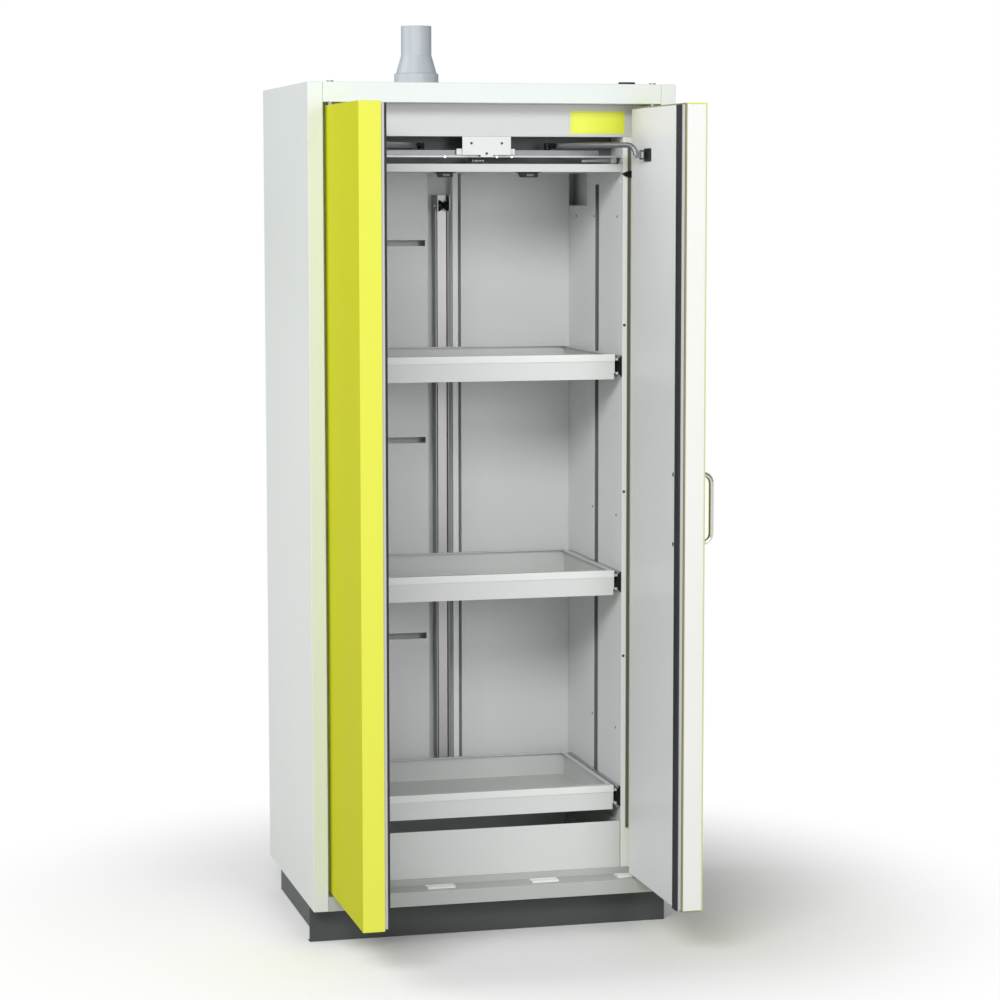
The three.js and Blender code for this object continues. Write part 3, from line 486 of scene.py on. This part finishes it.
def shaded_fold(middle):
    """Painted shade: the right shell's inner fold, and its free edge beside the strip and below it.
    """
    near_strip = middle.x < EDGE_INNER_X or middle.z < FOOT_Z
    return middle.x < FOLD_X or middle.y < SHELL_EDGE_Y and near_strip


def lit_fold(middle):
    """Painted light: the right shell's free edge outside the strip."""
    return middle.y < SHELL_EDGE_Y and middle.x > EDGE_OUTER_X and middle.z > FOOT_Z


for side in ("left", "right"):
    second_finish(f"{side}_door_plate", shaded_plate_edge_coat, lambda middle: middle.y < FREE_EDGE_Y)
    second_finish(f"{side}_closer_arm", black_abs, lambda middle: abs(middle.x) < GLIDER_X)
    second_finish(
        f"{side}_door_shell", shaded_door_face_coat, lambda middle: abs(middle.x) > OUTER_FACE_X
    )
second_finish("right_door_shell", shaded_fold_coat, shaded_fold)
second_finish("right_door_shell", lit_fold_coat, lit_fold)
for number in (1, 2, 3):
    second_finish(f"tray_{number}", lit_rim_coat, lambda middle: middle.y < RIM_Y)

# %% [markdown]
# A folded sheet never has a sharp edge, so the larger nodes get a small live bevel, wide on the
# casing and the doors and narrow on thin sheet. Weld comes first, because the frame's faces are
# loose triangles that a bevel can't follow.

# %% Soften the sheet edges
WELD = 0.02 * MM
BEVELS = {
    1.6 * MM: ["*_side_wall", "top_panel", "base_panel", "*_door_shell"],
    0.8 * MM: ["plinth_front", "plinth_left", "plinth_right", "*_door_plate", "back_wall"],
    0.6 * MM: ["header_panel", "ceiling_panel", "tray_1", "tray_2", "tray_3", "sump"],
    0.5 * MM: ["duct_panel", "rear_panel", "*_liner", "centre_bracket", "guide_tube"],
}
BEVEL_ANGLE = math.radians(40)

for width, names in BEVELS.items():
    for name in every(names):
        weld = NODES[name].modifiers.new("weld", "WELD")
        weld.merge_threshold = WELD
        bevel = NODES[name].modifiers.new("rounded_edges", "BEVEL")
        bevel.width = width
        bevel.segments = 2
        bevel.limit_method = "ANGLE"
        bevel.angle_limit = BEVEL_ANGLE

print("softened", sum(len(every(names)) for names in BEVELS.values()), "nodes")

# %% [markdown]
# Small parts are drawn as bmesh shapes in millimetres, in the cabinet's own frame, so a part sits
# where the plan says. One helper turns such a shape into a piece: it scales it to metres, turns
# the faces outwards, gives it its finish and fixes it to the body that carries it.

# %% Helpers for small parts
SAME_POINT = 0.001
SHARP_ANGLE = math.radians(30)


def new_piece(name, shape, finish, body):
    """A piece from a bmesh in millimetres. It frees the bmesh."""
    bmesh.ops.remove_doubles(shape, verts=shape.verts, dist=SAME_POINT)
    bmesh.ops.recalc_face_normals(shape, faces=shape.faces)
    bmesh.ops.scale(shape, vec=(MM, MM, MM), verts=shape.verts)
    mesh = bpy.data.meshes.new(name)
    shape.to_mesh(mesh)
    shape.free()
    mesh.materials.append(finish)
    piece = bpy.data.objects.new(name, mesh)
    bpy.context.scene.collection.objects.link(piece)
    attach(piece, body)
    return piece


def add_prism(shape, outline, low, high, axis="Z"):
    """Adds a prism. The outline's two numbers run along the other two axes, in the order XYZ."""
    def corner(a, b, c):
        return {"X": (c, a, b), "Y": (a, c, b), "Z": (a, b, c)}[axis]

    rings = [[shape.verts.new(corner(a, b, c)) for a, b in outline] for c in (low, high)]
    count = len(outline)
    for i in range(count):
        j = (i + 1) % count
        shape.faces.new((rings[0][i], rings[0][j], rings[1][j], rings[1][i]))
    shape.faces.new(rings[0])
    shape.faces.new(rings[1])


def rounded_outline(width, height, radius, centre=(0, 0), steps=4):
    """A rectangle with round corners, as points."""
    points = []
    for k, (sx, sy) in enumerate(((1, 1), (-1, 1), (-1, -1), (1, -1))):
        for i in range(steps + 1):
            turn = math.radians(90 * (k + i / steps))
            x = centre[0] + sx * (width / 2 - radius) + radius * math.cos(turn)
            y = centre[1] + sy * (height / 2 - radius) + radius * math.sin(turn)
            points.append((x, y))
    return points


def soften(shape, width, segments=2):
    """Rounds every edge of a bmesh that turns by more than the sharp angle."""
    sharp = [e for e in shape.edges if e.is_manifold and e.calc_face_angle(0) > SHARP_ANGLE]
    bmesh.ops.bevel(
        shape,
        geom=sharp,
        offset=width,
        segments=segments,
        profile=0.5,
        affect="EDGES",
        clamp_overlap=True,
    )


# %% [markdown]
# Four strike plates lie on the sill. The doors' bottom edges run up on them, so they are low white
# nylon ramps with a slot along the back, held by the sheet below.

# %% Strike plates on the sill
SILL_TOP = 122
SEAT = 0.3
STRIKE_HEIGHT = 4.5
STRIKE_BACK = -264
STRIKE_FRONT = -294
STRIKE_RAMP = 3
STRIKE_SPANS = [(-164, -95), (98, 165), (-383, -315), (315, 383)]


def strike_plate(shape, left, right):
    """Adds a ramp with a slot along its back, from left to right."""
    base = SILL_TOP + SEAT
    top = base + STRIKE_HEIGHT
    slot = top - 2.5
    profile = [
        (STRIKE_FRONT, base),
        (STRIKE_FRONT, top - 1.2),
        (STRIKE_FRONT + STRIKE_RAMP, top),
        (STRIKE_BACK - 10, top),
        (STRIKE_BACK - 9, slot),
        (STRIKE_BACK - 3, slot),
        (STRIKE_BACK - 2, top - 0.6),
        (STRIKE_BACK, top - 1),
        (STRIKE_BACK, base),
    ]
    add_prism(shape, profile, left, right, axis="X")


for index, (left, right) in enumerate(STRIKE_SPANS, start=1):
    shape = bmesh.new()
    strike_plate(shape, left, right)
    soften(shape, 0.5)
    new_piece(f"strike_plate_{index}", shape, white_plug, "casing")
print("strike plates", len(STRIKE_SPANS))

# %% [markdown]
# Two black rubber bumpers hang under the ceiling's front bar and two clips hold the ends of the
# frame's swelling strips. They are moulded, so all their edges are round.

# %% Bumpers and clips
CEILING_Z = 1850
FACE_Y = -247
BUMPER_SPANS = [(-127, -83), (75, 127)]
BUMPER_DEPTH = 14
BUMPER_HEIGHT = 12.5


def bumper(name, left, right):
    """A holder with its flange under the ceiling and a rubber inlay in its front."""
    top = CEILING_Z - SEAT
    low = top - BUMPER_HEIGHT
    front = FACE_Y + 1
    shape = bmesh.new()
    body = [
        (left + 3, top),
        (left + 3, top - 4),
        (left + 7, low),
        (right - 5, low),
        (right - 3, low + 3),
        (right - 3, top),
    ]
    add_prism(shape, body, front, front + BUMPER_DEPTH, axis="Y")
    soften(shape, 1.2, segments=3)
    flange = bmesh.new()
    lip = [(left - 4, top), (right + 4, top), (right + 3, top - 2), (left - 3, top - 2)]
    add_prism(flange, lip, front, front + BUMPER_DEPTH, axis="Y")
    soften(flange, 0.5)
    new_piece(name, shape, black_abs, "casing")
    new_piece(name + "_flange", flange, black_abs, "casing")
    inlay = bmesh.new()
    middle = ((left + right) / 2 + 3, (top - 2 + low) / 2)
    add_prism(inlay, rounded_outline(17, 5, 1, middle), front - 0.5, front + 2, axis="Y")
    soften(inlay, 0.2)
    new_piece(name + "_inlay", inlay, inlay_rubber, "casing")


for index, (left, right) in enumerate(BUMPER_SPANS, start=1):
    bumper(f"ceiling_bumper_{index}", left, right)

CLIP_FRONT = -5.8
CLIP_BACK = -5.1


def strip_clip(name, side):
    """A thin clip over the swelling strip. The closed door has only 6 mm of room there."""
    shape = bmesh.new()
    outline = [
        (side * 330, 1845.5),
        (side * 340, 1840),
        (side * 350, 1836.5),
        (side * 364, 1835.5),
        (side * 365, 1852),
        (side * 351, 1853),
        (side * 340, 1850),
    ]
    add_prism(shape, outline, FACE_Y + CLIP_FRONT, FACE_Y + CLIP_BACK, axis="Y")
    soften(shape, 0.2)
    new_piece(name, shape, black_abs, "casing")


SIDES = (("left", -1), ("right", 1))
for word, side in SIDES:
    strip_clip(f"{word}_strip_clip", side)
print("bumpers", len(BUMPER_SPANS), "clips", len(SIDES))

# %% [markdown]
# Each inner side board has an upright groove. A dark U-shaped lining, open to the front of the
# groove, is painted shade, so the groove shows as a dark band.

# %% Painted shade in the grooves
GROOVE_Y = (-38.4, -5.6)
GROOVE_X = (336.4, 343.6)
GROOVE_Z = (138.8, 1820.5)
LINING_WALL = 1.6

# Each lining is painted shade: a dark strip where the groove's own depth gives too little shade.
for word, side in SIDES:
    (front, back), (near, deep) = GROOVE_Y, GROOVE_X
    outline = [
        (near, front),
        (deep, front),
        (deep, back),
        (near, back),
        (near, back - LINING_WALL),
        (deep - LINING_WALL, back - LINING_WALL),
        (deep - LINING_WALL, front + LINING_WALL),
        (near, front + LINING_WALL),
    ]
    shape = bmesh.new()
    add_prism(shape, [(side * x, y) for x, y in outline], *GROOVE_Z, axis="Z")
    new_piece(f"{word}_groove_shade_lining", shape, groove_shade_pvc, "casing")
print("groove profiles", round(GROOVE_Z[1] - GROOVE_Z[0], 1), "mm long")

# %% [markdown]
# A bare yellow film plate is stuck to the header, with a darker line along its edge. A black cap
# closes a hole in the casing's top.

# %% Header plate
PLATE_X = (204, 339)
PLATE_Z = (1941.5, 1995)
FILM_BACK = FACE_Y - SEAT
FILM_FRONT = FILM_BACK - 0.4
LINE_FRONT = FILM_BACK - 0.55
LINE_INSET = (7, 5)
PRINT_WIDTH = 1.6

plate_size = (PLATE_X[1] - PLATE_X[0], PLATE_Z[1] - PLATE_Z[0])
centre = (sum(PLATE_X) / 2, sum(PLATE_Z) / 2)
shape = bmesh.new()
add_prism(shape, rounded_outline(*plate_size, 1.5, centre), FILM_FRONT, FILM_BACK, axis="Y")
new_piece("header_plate", shape, yellow_film, "casing")

line_size = [whole - inset for whole, inset in zip(plate_size, LINE_INSET)]
outer = rounded_outline(*line_size, 1.5, centre)
inner = rounded_outline(*[side - 2 * PRINT_WIDTH for side in line_size], 1, centre)
shape = bmesh.new()
rings = [
    [shape.verts.new((x, y, z)) for x, z in ring]
    for ring, y in (
        (outer, LINE_FRONT), (inner, LINE_FRONT), (inner, FILM_FRONT), (outer, FILM_FRONT)
    )
]
for i in range(len(outer)):
    j = (i + 1) % len(outer)
    for here, after in zip(rings, rings[1:] + rings[:1]):
        shape.faces.new((here[i], here[j], after[j], after[i]))
new_piece("header_plate_line", shape, door_coat, "casing")
print("header plate", plate_size, "mm")

# %% Top cap
TOP_Z = 2058
TOP_CAP_SIZE = (40, 24)
TOP_CAP_RADIUS = 11
TOP_CAP_PLACE = (331, -293)
TOP_CAP_HEIGHT = 4.8

shape = bmesh.new()
outline = rounded_outline(*TOP_CAP_SIZE, TOP_CAP_RADIUS, TOP_CAP_PLACE, steps=8)
add_prism(shape, outline, TOP_Z + SEAT, TOP_Z + TOP_CAP_HEIGHT)
soften(shape, 1.5, segments=3)
new_piece("top_cap", shape, black_abs, "casing")
print("top cap", TOP_CAP_SIZE, "mm")

# %% [markdown]
# The recess at the rear has a pale lip along its right side. It is a narrow strip with the same
# facing as the side boards, a thin L that closes the gap beside the rear panel and turns back
# into the depth.

# %% Recess trim
TRIM_OUTLINE = [(26, 236), (40, 236), (40, 237.5), (27.5, 237.5), (27.5, 246), (26, 246)]
TRIM_Z = (138.6, 1868.7)
shape = bmesh.new()
add_prism(shape, TRIM_OUTLINE, *TRIM_Z)
recess_trim = new_piece("recess_trim", shape, side_laminate, "casing")
print("recess trim", [round(v, 3) for v in recess_trim.dimensions])

# %% [markdown]
# Screws and plugs are the same shape in other sizes: a low round head with a chamfer and a sunken
# drive. A Geometry Nodes tree extrudes that head from a disc and puts one on every point of a small
# mesh, turned to the point's facing. The result is made a plain mesh, because the export drops
# instances.

# %% The tree of the screw heads
HEAD_SIDES = 20
CHAMFER_SHARE = 0.86


def screw_tree():
    """Extrudes a disc into a head: up, in to the chamfer, in to the drive and down into it."""
    tree = bpy.data.node_groups.new("screw_heads", "GeometryNodeTree")
    face = tree.interface
    face.new_socket("Points", in_out="INPUT", socket_type="NodeSocketGeometry")
    for label in ("Head radius", "Head height", "Drive share", "Drive depth"):
        face.new_socket(label, in_out="INPUT", socket_type="NodeSocketFloat")
    face.new_socket("Finish", in_out="INPUT", socket_type="NodeSocketMaterial")
    face.new_socket("Heads", in_out="OUTPUT", socket_type="NodeSocketGeometry")
    given = tree.nodes.new("NodeGroupInput").outputs
    disc = add_node(
        tree,
        "GeometryNodeMeshCircle",
        {"Radius": given["Head radius"]},
        Vertices=HEAD_SIDES,
        fill_type="NGON",
    )
    underside = add_node(tree, "GeometryNodeFlipFaces", {"Mesh": disc.outputs["Mesh"]})
    inward = add_node(tree, "ShaderNodeMath", {0: given["Drive depth"]}, operation="MULTIPLY")
    inward.inputs[1].default_value = -1.0
    step = add_node(tree, "ShaderNodeMath", {0: given["Head height"]}, operation="MULTIPLY")
    step.inputs[1].default_value = 0.5
    shape, top = disc.outputs["Mesh"], None
    rings = [(step, None), (step, CHAMFER_SHARE), (None, given["Drive share"]), (inward, None)]
    for rise, share in rings:
        links = {"Mesh": shape}
        if top:
            links["Selection"] = top
        if rise:
            links["Offset Scale"] = rise.outputs["Value"]
        ring = add_node(tree, "GeometryNodeExtrudeMesh", links, mode="FACES")
        if not rise:
            ring.inputs["Offset Scale"].default_value = 0.0
        shape, top = ring.outputs["Mesh"], ring.outputs["Top"]
        if share is not None:
            narrowed = add_node(
                tree, "GeometryNodeScaleElements", {"Geometry": shape, "Selection": top}
            )
            if isinstance(share, float):
                narrowed.inputs["Scale"].default_value = share
            else:
                tree.links.new(share, narrowed.inputs["Scale"])
            shape = narrowed.outputs["Geometry"]
    joined = tree.nodes.new("GeometryNodeJoinGeometry")
    tree.links.new(shape, joined.inputs["Geometry"])
    tree.links.new(underside.outputs["Mesh"], joined.inputs["Geometry"])
    closed = add_node(
        tree,
        "GeometryNodeMergeByDistance",
        {"Geometry": joined.outputs["Geometry"]},
        Distance=0.01 * MM,
    )
    facing = add_node(
        tree, "GeometryNodeInputNamedAttribute", Name="facing", data_type="FLOAT_VECTOR"
    )
    turned = add_node(
        tree,
        "FunctionNodeAlignRotationToVector",
        {"Vector": facing.outputs["Attribute"]},
        axis="Z",
    )
    placed = add_node(
        tree,
        "GeometryNodeInstanceOnPoints",
        {
            "Points": given["Points"],
            "Instance": closed.outputs["Geometry"],
            "Rotation": turned.outputs["Rotation"],
        },
    )
    instances = {"Geometry": placed.outputs["Instances"]}
    plain = add_node(tree, "GeometryNodeRealizeInstances", instances)
    painted = add_node(
        tree,
        "GeometryNodeSetMaterial",
        {"Geometry": plain.outputs["Geometry"], "Material": given["Finish"]},
    )
    result = tree.nodes.new("NodeGroupOutput")
    tree.links.new(painted.outputs["Geometry"], result.inputs["Heads"])
    return tree


SCREW_TREE = screw_tree()


# %% [markdown]
# A tree is run through a modifier on a small start mesh. Its inputs are set first, then its
# result is copied out as a plain mesh and the modifier goes, before the piece joins its body.

# %% Helpers that run a tree
def piece_from_tree(name, tree, start, inputs, body, slot):
    """Runs a node tree on a mesh and keeps its result as a piece of a plain mesh."""
    piece = bpy.data.objects.new(name, start)
    bpy.context.scene.collection.objects.link(piece)
    modifier = piece.modifiers.new("shape", "NODES")
    modifier.node_group = tree
    for item in tree.interface.items_tree:
        if item.in_out == "INPUT" and item.name in inputs:
            modifier[item.identifier] = inputs[item.name]
    view = bpy.context.evaluated_depsgraph_get()
    final = bpy.data.meshes.new_from_object(piece.evaluated_get(view))
    piece.modifiers.remove(modifier)
    piece.data = final
    final.name = name
    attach(piece, body)
    print(name, len(final.polygons), "faces")


def heads(name, spots, finish, home, radius, height, drive_share=0.45, drive_depth=0.5):
    """Screw heads at spots, each a place in millimetres and the way that it faces. home is the
    body, and a slot that is not used."""
    points = bpy.data.meshes.new(name + "_points")
    points.from_pydata([Vector(place) * MM for place, facing in spots], [], [])
    attribute = points.attributes.new("facing", "FLOAT_VECTOR", "POINT")
    for item, (place, facing) in zip(attribute.data, spots):
        item.vector = facing
    sizes = {
        "Head radius": radius * MM,
        "Head height": height * MM,
        "Drive share": drive_share,
        "Drive depth": drive_depth * MM,
        "Finish": finish,
    }
    piece_from_tree(name, SCREW_TREE, points, sizes, *home)


# %% [markdown]
# The side boards are held by countersunk screws in rows, and by a few in their front edges. The
# door plates have white plugs near their corners and two dark screws that hold the handle.

# %% Screws of the boards, the doors and the closer
LINER_FACE = 336
BOARD_ROWS = [(1742, -198), (1742, 5), (1742, 170), (1010.5, -198), (1010.5, 10)]
BOARD_ROWS += [(480, -198), (480, 10)]
EDGE_SCREW_X = 341
EDGE_SCREW_Z = (1480, 1073, 667)
PLATE_FACE = 345
PLUG_SPOTS = [(-345, 1076), (-637, 1074.5), (-341, 186), (-639, 184)]
PLUG_SPOTS += [(-335, 1953), (-637, 1953)]
HANDLE_SCREWS = [(-632, 1151), (-634, 989)]

board_spots = []
for side in (-1, 1):
    for z, y in BOARD_ROWS:
        board_spots.append(((side * LINER_FACE, y, z), (-side, 0, 0)))
    for z in EDGE_SCREW_Z:
        board_spots.append(((side * EDGE_SCREW_X, FACE_Y, z), (0, -1, 0)))
steel_on_casing = ("casing", "zinc_steel")
heads("board_screws", board_spots, dark_steel, steel_on_casing, radius=3.4, height=0.5)

for word, side in SIDES:
    spots = [((side * PLATE_FACE, y, z), (-side, 0, 0)) for y, z in PLUG_SPOTS]
    heads(
        f"{word}_door_plugs",
        spots,
        white_plug,
        (f"{word}_door", "edge_board"),
        radius=5.5,
        height=0.5,
        drive_share=0.6,
        drive_depth=0.2,
    )
spots = [((PLATE_FACE, y, z), (-1, 0, 0)) for y, z in HANDLE_SCREWS]
heads(
    "handle_screws",
    spots,
    dark_steel,
    ("right_door", "zinc_steel"),
    radius=5.2,
    height=0.8,
    drive_share=0.5,
    drive_depth=1.2,
)

BRACKET_FRONT = -246
BRACKET_SCREWS = [(-40.3, 1918.4), (34.3, 1918.4), (-3, 1893.9)]
spots = [((x, BRACKET_FRONT, z), (0, -1, 0)) for x, z in BRACKET_SCREWS]
heads("bracket_screws", spots, dark_steel, steel_on_casing, radius=3.3, height=0.7)

CARRIER_FRONT = -233.5
RIVET_SPOTS = [(24.6, 1885.6), (61.6, 1885.6), (-103, 1885.6)]
spots = [((x, CARRIER_FRONT, z), (0, -1, 0)) for x, z in RIVET_SPOTS]
heads(
    "carrier_rivets",
    spots,
    turned_steel,
    ("casing", "bright_steel"),
    radius=2.8,
    height=1.4,
    drive_share=0.3,
    drive_depth=0.2,
)

# %% [markdown]
# A small tension spring pulls the release latch back. A spiral curve with a round section makes
# its coils.

# %% Latch spring
def spring_tree():
    """A round wire swept along a spiral that is laid along X."""
    tree = bpy.data.node_groups.new("coil_spring", "GeometryNodeTree")
    face = tree.interface
    for label in ("Coils", "Coil radius", "Wire radius", "Length"):
        face.new_socket(label, in_out="INPUT", socket_type="NodeSocketFloat")
    face.new_socket("Start", in_out="INPUT", socket_type="NodeSocketVector")
    face.new_socket("Finish", in_out="INPUT", socket_type="NodeSocketMaterial")
    face.new_socket("Spring", in_out="OUTPUT", socket_type="NodeSocketGeometry")
    given = tree.nodes.new("NodeGroupInput").outputs
    spiral = add_node(
        tree,
        "GeometryNodeCurveSpiral",
        {
            "Rotations": given["Coils"],
            "Start Radius": given["Coil radius"],
            "End Radius": given["Coil radius"],
            "Height": given["Length"],
        },
        Resolution=16,
    )
    wire = add_node(
        tree,
        "GeometryNodeCurvePrimitiveCircle",
        {"Radius": given["Wire radius"]},
        Resolution=8,
    )
    tube = add_node(
        tree,
        "GeometryNodeCurveToMesh",
        {"Curve": spiral.outputs["Curve"], "Profile Curve": wire.outputs["Curve"]},
        Fill_Caps=True,
    )
    laid = add_node(
        tree,
        "GeometryNodeTransform",
        {"Geometry": tube.outputs["Mesh"], "Translation": given["Start"]},
        Rotation=(0, math.pi / 2, 0),
    )
    plain = add_node(tree, "GeometryNodeRealizeInstances", {"Geometry": laid.outputs["Geometry"]})
    painted = add_node(
        tree,
        "GeometryNodeSetMaterial",
        {"Geometry": plain.outputs["Geometry"], "Material": given["Finish"]},
    )
    result = tree.nodes.new("NodeGroupOutput")
    tree.links.new(painted.outputs["Geometry"], result.inputs["Spring"])
    return tree


SPRING_START = (-38, -239, 1876.5)
spring_sizes = {
    "Coils": 9.0,
    "Coil radius": 3.8 * MM,
    "Wire radius": 0.8 * MM,
    "Length": 30 * MM,
    "Start": Vector(SPRING_START) * MM,
    "Finish": turned_steel,
}
piece_from_tree(
    "latch_spring",
    spring_tree(),
    bpy.data.meshes.new("spring_start"),
    spring_sizes,
    "casing",
    "bright_steel",
)

# %% [markdown]
# The slides end in black moulded caps, one on the fixed member and one on the middle member, which
# runs out with it. Dark base plates spread the pull of the closer arms over the door plates.

# %% Slide caps and bracket plates
SLIDE_BACK = 335.7
SLIDE_MIDDLES = (1380, 850, 315.5)
CAP_FRONT = -244.9
CAP_BACK = -243.3


def caps(name, near, far, half, body):
    """Pairs of caps. near and far are distances from the slide's back, half is half its height."""
    for level, middle in enumerate(SLIDE_MIDDLES, start=1):
        shape = bmesh.new()
        for side in (-1, 1):
            centre = (side * (SLIDE_BACK - (near + far) / 2), middle)
            outline = rounded_outline(far - near, 2 * half, 1.2, centre)
            add_prism(shape, outline, CAP_FRONT, CAP_BACK, axis="Y")
        soften(shape, 0.3)
        new_piece(f"{name}_{level}", shape, black_abs, body.format(level))


caps("outer_slide_caps", near=0.3, far=3.6, half=25, body="casing")
caps("middle_slide_caps", near=4.1, far=8.4, half=20.5, body="slide_runners_{}")

BRACKET_PLATE_X = (343.7, 344.7)
BRACKET_PLATE_Y = (-450, -394)
BRACKET_PLATE_Z = (1873, 1904)
for word, side in SIDES:
    (front, back), (low_z, high_z) = BRACKET_PLATE_Y, BRACKET_PLATE_Z
    shape = bmesh.new()
    centre = ((front + back) / 2, (low_z + high_z) / 2)
    outline = rounded_outline(back - front, high_z - low_z, 4, centre)
    add_prism(shape, outline, *sorted(side * x for x in BRACKET_PLATE_X), axis="X")
    new_piece(f"{word}_bracket_plate", shape, dark_steel, f"{word}_door")
print("slide caps", 2 * len(SLIDE_MIDDLES), "bracket plates", len(SIDES))

# %% [markdown]
# The floor is pale and plain. Near the cabinet it keeps the soft shadow, and further out it turns
# into the same white as the backdrop, which only the camera and reflections see.

# %% Floor
FLOOR_HALF = 30.0
FLOOR_DROP = 0.2 * MM
FADE_START = 0.55
FADE_END = 1.5
FLOOR_LIT = (0.62, 0.62, 0.62, 1)
FLOOR_SEEN = (0.98, 0.98, 0.98, 1)


def build_floor():
    """A large square that is nearly white to the eye and greyer to the light it throws back."""
    mesh = bpy.data.meshes.new("floor")
    h = FLOOR_HALF
    mesh.from_pydata([(-h, -h, 0), (h, -h, 0), (h, h, 0), (-h, h, 0)], [], [(0, 1, 2, 3)])
    floor = bpy.data.objects.new("floor", mesh)
    floor.location.z = -FLOOR_DROP
    bpy.context.scene.collection.objects.link(floor)
    material, tree, output = new_material("pale_floor")
    place = add_node(tree, "ShaderNodeTexCoord").outputs["Object"]
    reach = add_node(tree, "ShaderNodeVectorMath", {0: place}, operation="LENGTH")
    fade = add_node(
        tree,
        "ShaderNodeMapRange",
        {"Value": reach.outputs["Value"]},
        interpolation_type="SMOOTHSTEP",
        From_Min=FADE_START,
        From_Max=FADE_END,
    )
    path = add_node(tree, "ShaderNodeLightPath")
    seen = add_node(
        tree,
        "ShaderNodeMath",
        {0: path.outputs["Is Camera Ray"], 1: path.outputs["Is Glossy Ray"]},
        operation="MAXIMUM",
    )
    near = add_node(tree, "ShaderNodeMix", {"Factor": seen.outputs["Value"]}, data_type="RGBA")
    near.inputs["A"].default_value = FLOOR_LIT
    near.inputs["B"].default_value = FLOOR_SEEN
    diffuse = add_node(tree, "ShaderNodeBsdfDiffuse", {"Color": near.outputs["Result"]})
    white = add_node(tree, "ShaderNodeEmission", Color=(1, 1, 1, 1), Strength=1.0)
    share = add_node(
        tree,
        "ShaderNodeMath",
        {0: fade.outputs["Result"], 1: seen.outputs["Value"]},
        operation="MULTIPLY",
    )
    mixed = add_node(
        tree,
        "ShaderNodeMixShader",
        {0: share.outputs["Value"], 1: diffuse.outputs["BSDF"], 2: white.outputs["Emission"]},
    )
    tree.links.new(mixed.outputs["Shader"], output.inputs["Surface"])
    mesh.materials.append(material)


build_floor()
print("floor fades from", FADE_START, "to", FADE_END, "m")

# %% [markdown]
# The world is a pale studio that fills the shadows. The camera sees it as plain white.

# %% World
WORLD_LIGHT = 0.34


def build_world():
    """An even light, with full white for the rays that the camera sees directly."""
    world = bpy.data.worlds.new("studio")
    bpy.context.scene.world = world
    world.use_nodes = True
    tree = world.node_tree
    tree.nodes.clear()
    output = tree.nodes.new("ShaderNodeOutputWorld")
    path = add_node(tree, "ShaderNodeLightPath")
    seen = add_node(
        tree,
        "ShaderNodeMath",
        {0: path.outputs["Is Camera Ray"], 1: path.outputs["Is Transmission Ray"]},
        operation="MAXIMUM",
    )
    strength = add_node(
        tree,
        "ShaderNodeMapRange",
        {"Value": seen.outputs["Value"]},
        To_Min=WORLD_LIGHT,
        To_Max=1.0,
    )
    background = add_node(
        tree,
        "ShaderNodeBackground",
        {"Strength": strength.outputs["Result"]},
        Color=(1, 1, 1, 1),
    )
    tree.links.new(background.outputs["Background"], output.inputs["Surface"])


build_world()
print("world light", WORLD_LIGHT)

# %% [markdown]
# Three soft boxes light the cabinet. The front one is wide and hangs high on the camera's left,
# so its light reaches past the left door into the compartments and the fascia throws a shadow on
# the header. The fill beside the camera softens that shadow. The side one brightens the casing's
# left side and the inside of the right door from the top down.

# %% Lamps
LAMPS = {
    "front": ((-3.0, -5.8, 4.1), (0.0, -0.2, 1.1), (4.0, 1.6), 290),
    "fill": ((1.0, -6.8, 2.2), (0.0, -0.2, 1.0), (1.6, 1.6), 88),
    "side": ((-3.3, 0.4, 3.2), (-0.3, -0.3, 1.2), (2.2, 2.2), 48),
}

for name, (place, aim, size, power) in LAMPS.items():
    data = bpy.data.lights.new(name, "AREA")
    data.shape = "RECTANGLE"
    data.size, data.size_y = size
    data.energy = power
    lamp_object = bpy.data.objects.new(name, data)
    lamp_object.location = place
    look = Vector(aim) - Vector(place)
    lamp_object.rotation_euler = look.to_track_quat("-Z", "Y").to_euler()
    bpy.context.scene.collection.objects.link(lamp_object)
    print(name, "lamp", power, "W")

# %% [markdown]
# The picture is shown with the plain view transform, so that a colour comes out as it is set.

# %% Picture settings
bpy.context.scene.view_settings.view_transform = "Standard"
